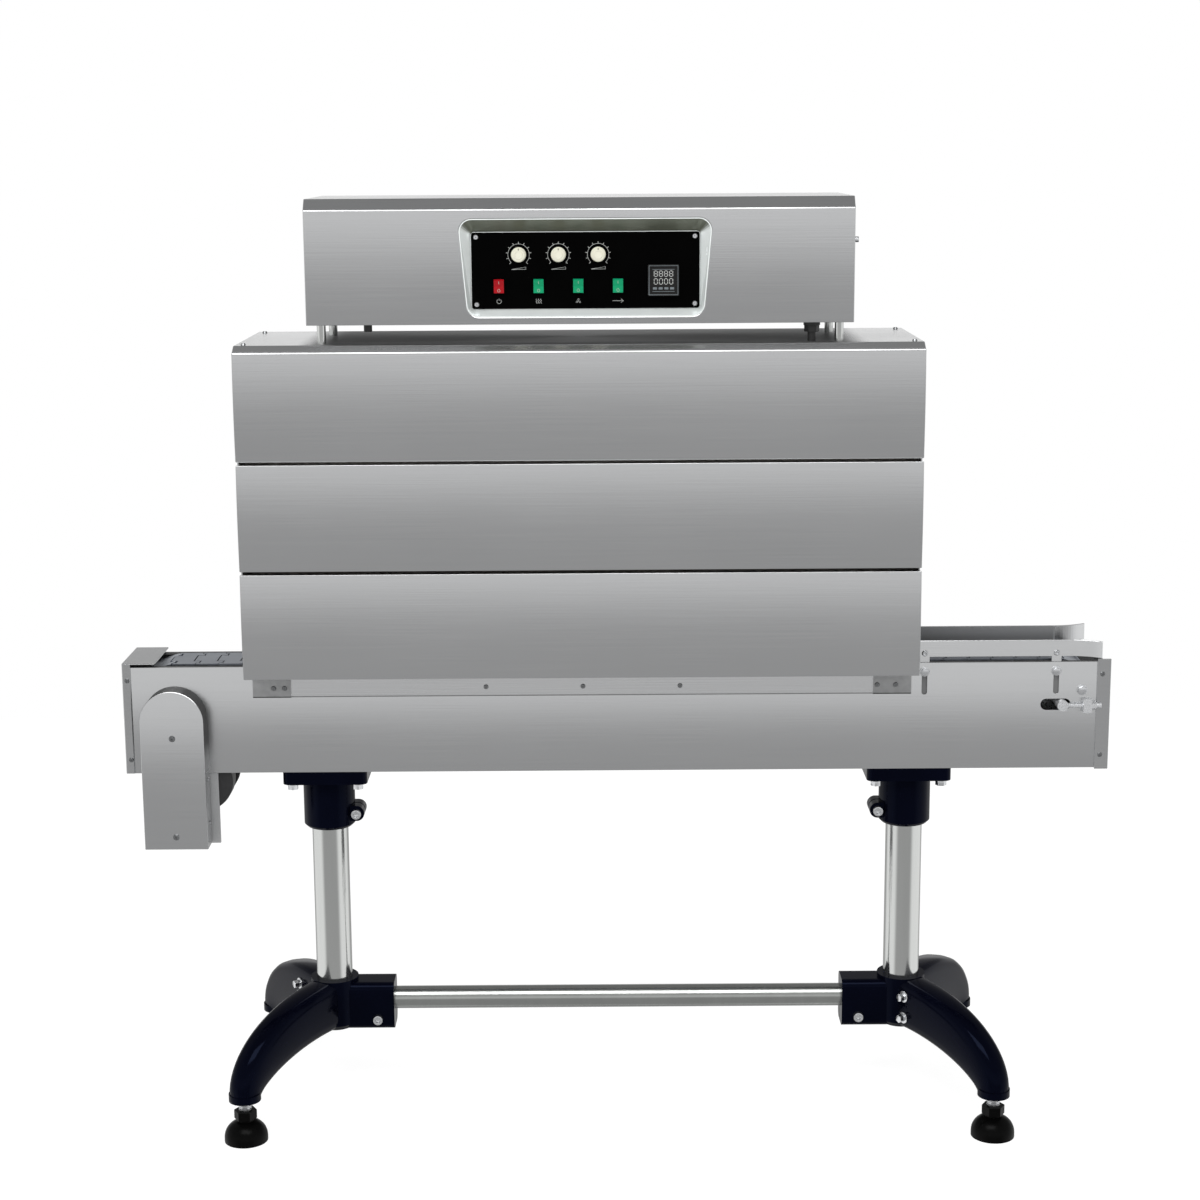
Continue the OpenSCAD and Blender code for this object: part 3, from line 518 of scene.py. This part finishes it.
def fastenerPlan(name, recess):
    # a head with a recess, or a plain head on a washer; both reach a little into the sheet
    given = newPlan(name, {"Head Width": 0.008, "Head Height": 0.0024, "Sides": 20, "Crown": 0.72,
                           "Washer Width": 0.0, "Washer Height": 0.0, "Recess Width": 0.0012,
                           "Recess Length": 0.0048, "Recess Depth": 0.0012})
    draw = given["Geometry"]
    radius = given["Head Width"] * 0.5
    head = draw.node("GeometryNodeMeshCone", {}, {
        "Vertices": given["Sides"], "Radius Top": radius * given["Crown"], "Radius Bottom": radius,
        "Depth": given["Head Height"]})
    deep = given["Recess Depth"] * 2.0
    bars = []
    if recess == "cross":
        for long, wide in (("Recess Length", "Recess Width"), ("Recess Width", "Recess Length")):
            bars.append(draw.node("GeometryNodeMeshCube", {}, {
                "Size": draw.point(given[long], given[wide], deep)}))
    if recess == "socket":
        bars.append(draw.node("GeometryNodeMeshCylinder", {}, {
            "Vertices": 6, "Radius": given["Recess Length"] * 0.5, "Depth": deep}))
    if bars:
        cutters = [lifted(bar, given["Head Height"]) for bar in bars]
        head = draw.node("GeometryNodeMeshBoolean", {"operation": "DIFFERENCE"}, {
            "Mesh 1": head, "Mesh 2": cutters})
    parts = [lifted(head, given["Washer Height"] - headSet["sunk"])]
    if recess == "none":
        washer = draw.node("GeometryNodeMeshCylinder", {}, {
            "Vertices": headSet["washerSides"], "Radius": given["Washer Width"] * 0.5,
            "Depth": given["Washer Height"] + headSet["sunk"] * 2})
        parts.append(lifted(washer, given["Washer Height"] * 0.5 - headSet["sunk"]))
    whole = draw.node("GeometryNodeJoinGeometry", {}, {0: parts})
    return closePlan(given, onPoints(given, whole, headSet["seed"]))


def ringCurve(draw, radius, steps):
    return draw.node("GeometryNodeCurvePrimitiveCircle", {}, {"Resolution": steps, "Radius": radius})


def threadPlan():
    # rings stacked at the pitch
    given = newPlan("thread", {"Thread Radius": 0.0102, "Ridge": 0.0009, "Pitch": 0.0025, "Turns": 6})
    draw = given["Geometry"]
    loop = ringCurve(draw, given["Thread Radius"], 24)
    edge = ringCurve(draw, given["Ridge"], 4)
    ridge = draw.node("GeometryNodeCurveToMesh", {}, {"Curve": loop, "Profile Curve": edge})
    rise = draw.point(0, 0, given["Pitch"])
    steps = draw.node("GeometryNodeMeshLine", {}, {"Count": given["Turns"], "Offset": rise})
    stack = draw.node("GeometryNodeInstanceOnPoints", {}, {"Points": steps, "Instance": ridge})
    return closePlan(given, onPoints(given, stack))


def inkLine(given, curve):
    # a raised line along a curve, as wide as the plan's Line Width
    edge = ringCurve(curve, given["Line Width"] * 0.5, 6)
    return curve.node("GeometryNodeCurveToMesh", {}, {
        "Curve": curve, "Profile Curve": edge, "Fill Caps": True})


def scalePlan():
    # arc line with ticks round a knob, open at the bottom
    given = newPlan("scale", {"Arc Radius": 0.0165, "Line Width": 0.0006, "Tick Length": 0.0032,
                              "Tick Width": 0.0008, "Ticks": 11, "Start": -0.785, "Sweep": 4.712})
    draw = given["Geometry"]
    arc = draw.node("GeometryNodeCurveArc", {}, {
        "Resolution": 40, "Radius": given["Arc Radius"], "Start Angle": given["Start"],
        "Sweep Angle": given["Sweep"]})
    marks = draw.node("GeometryNodeCurveToPoints", {}, {"Curve": arc, "Count": given["Ticks"]})
    here = draw.node("GeometryNodeInputPosition")
    out = draw.node("FunctionNodeAlignRotationToVector", {"axis": "X"}, {"Vector": here})
    tick = draw.node("GeometryNodeMeshCube", {}, {
        "Size": draw.point(given["Tick Length"], given["Tick Width"], given["Line Width"])})
    tick = draw.node("GeometryNodeTransform", {}, {
        "Geometry": tick, "Translation": draw.point(given["Tick Length"] * 0.5)})
    ticks = draw.node("GeometryNodeInstanceOnPoints", {}, {
        "Points": marks, "Instance": tick, "Rotation": out})
    both = draw.node("GeometryNodeJoinGeometry", {}, {0: [inkLine(given, arc), ticks]})
    return closePlan(given, onPoints(given, both))


def segmentPlan():
    # one lit bar of a digit: a flat six-sided bar with pointed ends
    given = newPlan("segment", {"Length": 0.0036, "Width": 0.0009, "Thickness": 0.0004})
    draw = given["Geometry"]
    bar = draw.node("GeometryNodeMeshCylinder", {}, {"Vertices": 6, "Radius": 0.5, "Depth": 1.0})
    bar = draw.node("GeometryNodeTransform", {}, {
        "Geometry": bar, "Scale": draw.point(given["Length"], given["Width"], given["Thickness"])})
    return closePlan(given, onPoints(given, bar))


def buttonPlan():
    given = newPlan("button", {"Width": 0.006, "Height": 0.0032, "Thickness": 0.0014})
    draw = given["Geometry"]
    pad = draw.node("GeometryNodeMeshCube", {}, {
        "Size": draw.point(given["Width"], given["Height"], given["Thickness"])})
    return closePlan(given, onPoints(given, pad))


def strokePlan():
    # printed lines along the edges of a mesh
    given = newPlan("stroke", {"Line Width": 0.0007})
    draw = given["Geometry"]
    path = draw.node("GeometryNodeMeshToCurve", {}, {"Mesh": draw})
    return closePlan(given, inkLine(given, path))


plans = {
    "cross": fastenerPlan("crossScrew", "cross"),
    "socket": fastenerPlan("socketScrew", "socket"),
    "hex": fastenerPlan("hexBolt", "none"),
    "thread": threadPlan(),
    "scale": scalePlan(),
    "segment": segmentPlan(),
    "button": buttonPlan(),
    "stroke": strokePlan(),
}


def putPiece(name, mesh, paint, sharp, body):
    mesh.materials.append(paint)
    mesh.shade_smooth()
    mesh.set_sharp_from_angle(angle=math.radians(sharp))
    piece = bpy.data.objects.new(name, mesh)
    scene.collection.objects.link(piece)
    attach(piece, body)


growSet = {"bevelAngle": 40, "sharp": 34}


def grow(name, plan, points, paint, values=None, edges=(), bevel=0.0, body="machine"):
    # points: (place, turn) or (place, turn, size); the result is one plain mesh
    seed = bpy.data.meshes.new(name + "Points")
    seed.from_pydata([row[0] for row in points], edges, [])
    seed.attributes.new("turn", "FLOAT_VECTOR", "POINT")
    seed.attributes.new("size", "FLOAT", "POINT")
    for i, row in enumerate(points):
        seed.attributes["turn"].data[i].vector = row[1]
        seed.attributes["size"].data[i].value = row[2] if len(row) > 2 else 1.0
    holder = bpy.data.objects.new(name + "Points", seed)
    scene.collection.objects.link(holder)
    made = holder.modifiers.new("plan", "NODES")
    made.node_group = plans[plan]
    wanted = dict(values or {}, Finish=paint)
    for socket in plans[plan].interface.items_tree:
        if socket.in_out == "INPUT" and socket.name in wanted:
            made[socket.identifier] = wanted[socket.name]
    if bevel:
        addBevel(holder, bevel, growSet["bevelAngle"])
    ready = holder.evaluated_get(bpy.context.evaluated_depsgraph_get())
    plain = bpy.data.meshes.new_from_object(ready)
    holder.modifiers.clear()
    bpy.data.objects.remove(holder)
    plain.name = name
    plain.materials.clear()  # the seed's empty slot goes
    plain.polygons.foreach_set("material_index", [0] * len(plain.polygons))
    putPiece(name, plain, paint, growSet["sharp"], body)


def facing(x, y, z):
    return tuple(Vector((x, y, z)).to_track_quat("Z", "Y").to_euler())


front, rear, below, above = facing(0, -1, 0), facing(0, 1, 0), facing(0, 0, -1), facing(0, 0, 1)
rightward, leftward = facing(1, 0, 0), facing(-1, 0, 0)
upright = (math.radians(90), 0, 0)  # flat marks that face the front


def bothSides(rows, depth):
    # the same places on the front and the rear face
    return [((x, -depth, z), front) for x, z in rows] + [((x, depth, z), rear) for x, z in rows]


# where things stand: posts, feet, guide rail brackets, take-up screws
postX, footX, footY = 0.479, 0.606, 0.200
railStops = (0.500, 0.7139)
takeUpZ = 0.6844
zinc = finishes["zinc"]

# sheet screws of the covers, the mount rails, the drive cover, the body and the box's back
sheetScrew = {"Head Width": 0.0085, "Head Height": 0.0026, "Recess Width": 0.0011, "Recess Length": 0.0046}
railScrewZ = 0.7205
sheetSpots = bothSides([(-0.7942, 0.7339), (-0.7929, 0.6014)], 0.0625)
sheetSpots += bothSides([(0.7884, 0.7351), (0.7884, 0.6000)], 0.0625)
sheetSpots += bothSides([(x, railScrewZ) for x in (-0.2119, -0.0545, 0.1029)], 0.0630)
sheetSpots += bothSides([(x, railScrewZ) for x in (-0.5560, -0.5385, 0.4225, 0.4525)], 0.0660)
sheetSpots += [((-0.718, -0.100, z), front, 1.3) for z in (0.646, 0.481)]
for x, way in ((-0.6665, rightward), (-0.7695, leftward)):
    sheetSpots += [((x, -0.072, z), way) for z in (0.570, 0.497)]
sheetSpots += [((x, y, 1.281), above) for x in (-0.577, 0.465) for y in (0.118, -0.118)]
for x, way in ((-0.588, leftward), (0.476, rightward)):
    sheetSpots += [((x, y, z), way) for y in (-0.138, 0.138) for z in (0.80, 1.013, 1.225)]
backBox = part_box("box_back_cover")
backInset = 0.012
sheetSpots += [
    ((x, backBox[1][1], z), rear)
    for x in (backBox[0][0] + backInset, (backBox[0][0] + backBox[1][0]) / 2, backBox[1][0] - backInset)
    for z in (backBox[0][2] + backInset, backBox[1][2] - backInset)
]
grow("sheetScrews", "cross", sheetSpots, screwSteel, sheetScrew)

# corner screws of the black panel
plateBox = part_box("panel_plate")
panelInset = (0.0075, 0.0070)
panelSpots = [
    ((x, plateBox[0][1], z), front)
    for x in (plateBox[0][0] + panelInset[0], plateBox[1][0] - panelInset[0])
    for z in (plateBox[0][2] + panelInset[1], plateBox[1][2] - panelInset[1])
]
panelScrew = {"Head Width": 0.0090, "Head Height": 0.0024, "Recess Width": 0.0011, "Recess Length": 0.0048}
grow("panelScrews", "cross", panelSpots, zinc, panelScrew)

# hexagon bolts with washers: guide rail clamps
railBolt = {"Head Width": 0.0125, "Head Height": 0.0052, "Sides": 6, "Crown": 1.0,
            "Washer Width": 0.0165, "Washer Height": 0.0014}
railSpots = bothSides([(x, 0.7405) for x in railStops], 0.0600)
grow("railClampBolts", "hex", railSpots, zinc, railBolt, bevel=0.0005)

# earth point on the side of the control box
earthBolt = {"Head Width": 0.0090, "Head Height": 0.0062, "Sides": 6, "Crown": 1.0,
             "Washer Width": 0.0130, "Washer Height": 0.0014}
grow("earthBolt", "hex", [((0.3685, -0.1150, 1.4366), rightward)], zinc, earthBolt, bevel=0.0004)

# take-up brackets
bracketBolt = {"Head Width": 0.0150, "Head Height": 0.0070, "Sides": 6, "Crown": 1.0,
               "Washer Width": 0.0170, "Washer Height": 0.0012}
grow("bracketBolts", "hex", bothSides([(0.7564, 0.7085)], 0.0600), zinc, bracketBolt, bevel=0.0005)

# socket screws that hold the guide rails on their straps
footBolt = {"Head Width": 0.0105, "Head Height": 0.0030, "Recess Length": 0.0052, "Recess Depth": 0.0016}
strapSpots = bothSides([(x, 0.7700) for x in railStops], 0.0575)
grow("railFootScrews", "socket", strapSpots, zinc, footBolt, bevel=0.0004)

# bolts up through the flanges of the top sockets
flangeBolt = {"Head Width": 0.0185, "Head Height": 0.0085, "Sides": 6, "Crown": 1.0,
              "Washer Width": 0.0225, "Washer Height": 0.0018}
flangeSpots = [
    ((x + dx, y, 0.556), below) for x in (-postX, postX) for dx in (-0.0535, 0.0535) for y in (-0.046, 0.046)
]
grow("flangeBolts", "hex", flangeSpots, zinc, flangeBolt, bevel=0.0006)

# socket screws of the clamps on the stand
clampScrew = {"Head Width": 0.0170, "Head Height": 0.0090, "Sides": 28, "Crown": 0.94,
              "Recess Length": 0.0095, "Recess Depth": 0.0050}
clampOff = 0.0465
clampSpots = bothSides([(clampOff - postX, 0.496), (postX - clampOff, 0.496)], 0.0220)
clampSpots += bothSides([(-0.4045, 0.1385), (0.4045, 0.1385)], 0.0300)
grow("clampScrews", "socket", clampSpots, zinc, clampScrew, bevel=0.0006)

# bolts through the root of one arm of each base; the second base is the first one turned half round
armBolt = {"Head Width": 0.0140, "Head Height": 0.0100, "Sides": 6, "Crown": 1.0,
           "Washer Width": 0.0195, "Washer Height": 0.0022}
armSpots = []
for way in (1, -1):
    inner, outer = facing(-0.834 * way, -0.551 * way, 0), facing(0.855 * way, 0.518 * way, 0)
    armSpots += [((way * 0.4785, -way * 0.0517, z), inner) for z in (0.1806, 0.1436)]
    armSpots += [((way * 0.5453, -way * 0.0520, 0.1720), outer)]
grow("armBolts", "hex", armSpots, zinc, armBolt, bevel=0.0006)
print("fasteners grown")

# threads of the levelling studs and the take-up screws
studThread = {"Thread Radius": 0.0098, "Ridge": 0.0007, "Pitch": 0.0024, "Turns": 7}
studSpots = [((x, y, 0.0535), above) for x in (-footX, footX) for y in (-footY, footY)]
grow("studThreads", "thread", studSpots, zinc, studThread)
takeUpThread = {"Thread Radius": 0.0039, "Ridge": 0.0004, "Pitch": 0.0014, "Turns": 16}
screwSpots = [((0.7345, y, takeUpZ), rightward) for y in (-0.067, 0.067)]
grow("takeUpThreads", "thread", screwSpots, zinc, takeUpThread)

# scales round the knobs
panelY = plateBox[0][1]
knobSet = {"left_knob": -0.1480, "middle_knob": -0.0867, "right_knob": -0.0254}
knobRow = 1.4165
scaleSpots = [((x, panelY, knobRow), upright) for x in knobSet.values()]
grow("knobScales", "scale", scaleSpots, printWhite)


def polylines(lines):
    # one mesh's points and edges from several lines
    spots, joins = [], []
    for line in lines:
        base = len(spots)
        spots += line
        joins += [(base + i, base + i + 1) for i in range(len(line) - 1)]
    return spots, joins


def circleLine(x, z, r, start, stop, steps=18):
    # degrees, clockwise from the top
    turns = [math.radians(start + (stop - start) * i / steps) for i in range(steps + 1)]
    return [(x + r * math.sin(t), z + r * math.cos(t)) for t in turns]


def strokes(name, lines, y, paint, width=0.0007, body="machine"):
    spots, joins = polylines(lines)
    points = [((x, y, z), (0, 0, 0)) for x, z in spots]
    grow(name, "stroke", points, paint, {"Line Width": width}, edges=joins, body=body)


# printed signs: rising wedges under the knobs, plain pictures under the switches
rockerSet = {"red_rocker": -0.1790, "left_green_rocker": -0.1177, "middle_green_rocker": -0.0564,
             "right_green_rocker": 0.0049}
rockerRow, signRow = 1.3685, 1.3452
wedge = {"drop": 0.0225, "half": 0.011, "rise": 0.0036}
blade = ((0.0006, 0), (0.0030, -22), (0.0042, 8), (0.0030, 30), (0.0006, 0))  # radius and degrees
arrow = {"half": 0.0085, "barb": 0.0045, "open": 0.0030}
signs = []
for x in knobSet.values():
    z = knobRow - wedge["drop"]
    left, right = x - wedge["half"], x + wedge["half"]
    signs.append([(left, z), (right, z), (right, z + wedge["rise"]), (left, z)])
x = rockerSet["red_rocker"]
signs += [circleLine(x, signRow, 0.0034, 30, 330), [(x, signRow + 0.0008), (x, signRow + 0.0042)]]
x = rockerSet["left_green_rocker"]
for k in (-1, 0, 1):
    wave = [(0.0009 * math.sin(t * 1.05), t * 0.0006) for t in range(13)]
    signs.append([(x + k * 0.0034 + dx, signRow - 0.0036 + dz) for dx, dz in wave])
x = rockerSet["middle_green_rocker"]
for k in range(3):
    turned = [(r, math.radians(120 * k + a)) for r, a in blade]
    signs.append([(x + r * math.sin(t), signRow + r * math.cos(t)) for r, t in turned])
x = rockerSet["right_green_rocker"]
tip, barb = x + arrow["half"], x + arrow["barb"]
signs.append([(x - arrow["half"], signRow), (tip, signRow)])
signs.append([(barb, signRow + arrow["open"]), (tip, signRow), (barb, signRow - arrow["open"])])
strokes("panelSigns", signs, panelY, printWhite)

# knob caps, as rings of radius and height, with their pointers
capSet = {"steps": 40, "sharp": 30,
          "rings": [(0.0048, 0.0002), (0.0056, 0.0008), (0.0065, 0.0008), (0.0068, 0.0004),
                    (0.0068, -0.0006)]}
pointerSet = {"from": 0.0070, "to": 0.0098, "sunk": 0.0006, "width": 0.0011}
for name, x in knobSet.items():
    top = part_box(name)[0][1]
    steps = capSet["steps"]
    turns = [2 * math.pi * i / steps for i in range(steps)]
    shape = bmesh.new()
    loops = [
        [shape.verts.new((x + r * math.cos(t), top - h, knobRow + r * math.sin(t))) for t in turns]
        for r, h in capSet["rings"]
    ]
    shape.faces.new(loops[0])
    for inner, outer in zip(loops, loops[1:]):
        for i in range(steps):
            after = (i + 1) % steps
            shape.faces.new((inner[i], inner[after], outer[after], outer[i]))
    shape.faces.new(loops[-1][::-1])
    bmesh.ops.recalc_face_normals(shape, faces=shape.faces)
    capMesh = bpy.data.meshes.new(name + "Cap")
    shape.to_mesh(capMesh)
    shape.free()
    putPiece(name + "Cap", capMesh, finishes["ivory"], capSet["sharp"], name + "_body")
    pointer = [(x, knobRow + pointerSet["from"]), (x, knobRow + pointerSet["to"])]
    strokes(name + "Pointer", [pointer], top + pointerSet["sunk"], pointerBlack, pointerSet["width"],
            name + "_body")

# bar and ring on the two halves of each rocker
rockerShape = {"tilt": 8.0, "valley": 0.0035, "mark": 0.0062, "ring": (0.0019, 0.0023), "bar": 0.0022,
               "line": 0.0006}
lean = math.radians(rockerShape["tilt"])
mark, barHalf = rockerShape["mark"], rockerShape["bar"]
ringWide, ringTall = rockerShape["ring"]
ringTurns = [math.radians(a) for a in range(0, 361, 24)]
ringLine = [(ringWide * math.sin(t), ringTall * math.cos(t) - mark) for t in ringTurns]
barLine = [(0.0, mark - barHalf), (0.0, mark + barHalf)]
for name, x in rockerSet.items():
    lines = []
    for line in (ringLine, barLine):
        placed = []
        for dx, dz in line:
            out = -(rockerShape["valley"] + abs(dz) * math.tan(lean))
            spot = Matrix.Rotation(lean, 3, "X") @ Vector((0, out, dz))
            placed.append((x + dx, panelY + spot.y, rockerRow + spot.z))
        lines.append(placed)
    spots, joins = polylines(lines)
    grow(name + "Marks", "stroke", [(spot, (0, 0, 0)) for spot in spots], rockerMark,
         {"Line Width": rockerShape["line"]}, edges=joins, body=name + "_body")

# temperature controller: two rows of digits, keys, and the lines of its face
meterSet = {"x": 0.0750, "z": 1.3765, "window": 0.0015, "digits": ("8888", "0000"), "rows": (0.0100, -0.0018),
            "step": 0.0079, "half": (0.0025, 0.0021), "keyStep": 0.0088, "keyDrop": 0.0125, "edge": 0.0222,
            "line": 0.017, "lineRows": (0.0165, -0.0172)}
digitBar = {"Length": 0.0042, "Width": 0.0012}
meterKey = {"Width": 0.0062, "Height": 0.0034}
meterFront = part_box("temperature_controller")[0][1]
windowY = meterFront + meterSet["window"]
litBars = {"0": "abcdef", "8": "abcdefg"}
barPlace = {"a": (0, 2, 0), "g": (0, 0, 0), "d": (0, -2, 0), "f": (-1, 1, 90), "b": (1, 1, 90),
            "e": (-1, -1, 90), "c": (1, -1, 90)}
x, z = meterSet["x"], meterSet["z"]
halfWide, halfTall = meterSet["half"]
bars = []
for text, row in zip(meterSet["digits"], meterSet["rows"]):
    for k, sign in enumerate(text):
        middle = x + (k - 1.5) * meterSet["step"]
        for bar in litBars[sign]:
            dx, dz, angle = barPlace[bar]
            spot = (middle + dx * halfWide, windowY, z + row + dz * halfTall)
            bars.append((spot, (upright[0], math.radians(angle), 0)))
grow("meterDigits", "segment", bars, printWhite, digitBar)
keyRow, keyStep = z - meterSet["keyDrop"], meterSet["keyStep"]
keySpots = [((x + (k - 1.5) * keyStep, windowY, keyRow), upright) for k in range(4)]
grow("meterKeys", "button", keySpots, printGrey, meterKey, bevel=0.0005)
corners = [(-1, -1), (1, -1), (1, 1), (-1, 1), (-1, -1)]
faceLine = [(x + dx * meterSet["edge"], z + dz * meterSet["edge"]) for dx, dz in corners]
strokes("meterFrame", [faceLine], meterFront, printGrey, 0.0012)
left, right = x - meterSet["line"], x + meterSet["line"]
innerLines = [[(left, z + row), (right, z + row)] for row in meterSet["lineRows"]]
strokes("meterLines", innerLines, windowY, printGrey, 0.0008)
print("panel printed")

# studio: white floor and backdrop; the gloss rays meet a bright backdrop above a duller floor
studio = {"floorHalf": 2.6, "white": 1.0, "fill": 0.55, "frontFloor": 0.50, "sideFloor": 1.15, "zenith": 0.32,
          "rear": 0.48, "farLow": 0.95, "high": 0.66, "paper": 0.85, "paperGlow": 1.15, "paperShare": 0.72}
# where one part of the backdrop passes into the next, by the direction's own parts
bands = {"side": (0.60, 0.90), "far": (0.10, 0.20), "back": (0.10, 0.60), "horizon": (-0.115, 0.045),
         "high": (0.20, 0.42), "zenith": (0.62, 0.95)}


def rays(wire, names):
    outs = wire.node("ShaderNodeLightPath").socket.node.outputs
    seen = [Wire(wire.tree, outs[name]) for name in names]
    return sum(seen[1:], seen[0]).between(0, 1)


world = bpy.data.worlds.new("studio")
scene.world = world
world.use_nodes = True
world.node_tree.nodes.clear()
sky = Wire(world.node_tree)
aim = sky.node("ShaderNodeTexCoord", out="Generated")
aimX, aimY, aimZ = aim.axis("X"), aim.axis("Y"), aim.axis("Z")
flatLength = aim.maths("SQRT", aimX * aimX + aimY * aimY + 0.0001)
sideways = abs(aimX) / flatLength
lowPart = sideways.between(*bands["side"]).mixed(studio["frontFloor"], studio["sideFloor"])
farPart = aimZ.between(*bands["far"]).mixed(studio["farLow"], studio["rear"])
highPart = aimY.between(*bands["back"]).mixed(1.0, farPart)
shown = aimZ.between(*bands["horizon"]).mixed(lowPart, highPart)
shown = aimZ.between(*bands["high"]).mixed(shown, shown * studio["high"])
shown = aimZ.between(*bands["zenith"]).mixed(shown, studio["zenith"])
seen = rays(sky, ("Is Camera Ray", "Is Transmission Ray"))
gloss = rays(sky, ("Is Glossy Ray",))
strength = seen.mixed(gloss.mixed(studio["fill"], shown), studio["white"])
glow = sky.node("ShaderNodeBackground", {}, {"Color": grey(1.0), "Strength": strength})
sky.node("ShaderNodeOutputWorld", {}, {"Surface": glow})

floorMesh = bpy.data.meshes.new("floor")
half = studio["floorHalf"]
corners = [(-half, -half, 0), (half, -half, 0), (half, half, 0), (-half, half, 0)]
floorMesh.from_pydata(corners, [], [(0, 1, 2, 3)])
floor = bpy.data.objects.new("floor", floorMesh)
scene.collection.objects.link(floor)
floorPaint = bpy.data.materials.new("paleFloor")
floorPaint.use_nodes = True
floorPaint.node_tree.nodes.clear()
paper = Wire(floorPaint.node_tree)
matt = paper.node("ShaderNodeBsdfDiffuse", {}, {"Color": grey(studio["paper"])})
lit = paper.node("ShaderNodeEmission", {}, {"Color": grey(1.0), "Strength": studio["paperGlow"]})
clear = paper.node("ShaderNodeBsdfTransparent")
share = rays(paper, ("Is Camera Ray", "Is Transmission Ray")) * studio["paperShare"]
paperSeen = paper.node("ShaderNodeMixShader", {}, {0: share, 1: matt, 2: lit})
paperAll = paper.node("ShaderNodeMixShader", {}, {0: rays(paper, ("Is Glossy Ray",)), 1: paperSeen, 2: clear})
paper.node("ShaderNodeOutputMaterial", {}, {"Surface": paperAll})
floorMesh.materials.append(floorPaint)

# soft boxes: place, aim, size, power, and whether they show in the gloss
boxes = {
    "topBox": ((-0.3, -1.9, 3.0), (0, 0, 0.9), (2.6, 1.4), 60, True),
    "leftBox": ((-2.9, -1.6, 1.7), (0, 0, 0.8), (1.0, 2.4), 35, False),
    "rightBox": ((2.9, -1.9, 1.8), (0, 0, 0.8), (0.8, 2.4), 28, False),
    "backBox": ((0.5, 2.8, 2.4), (0, 0, 0.8), (2.4, 1.4), 30, False),
}
for name, (spot, look, size, power, shine) in boxes.items():
    lamp = bpy.data.lights.new(name, "AREA")
    lamp.shape = "RECTANGLE"
    lamp.size, lamp.size_y = size
    lamp.energy = power
    holder = bpy.data.objects.new(name, lamp)
    holder.location = spot
    holder.visible_glossy = shine
    holder.rotation_euler = (Vector(look) - Vector(spot)).to_track_quat("-Z", "Y").to_euler()
    scene.collection.objects.link(holder)
print("studio lit")
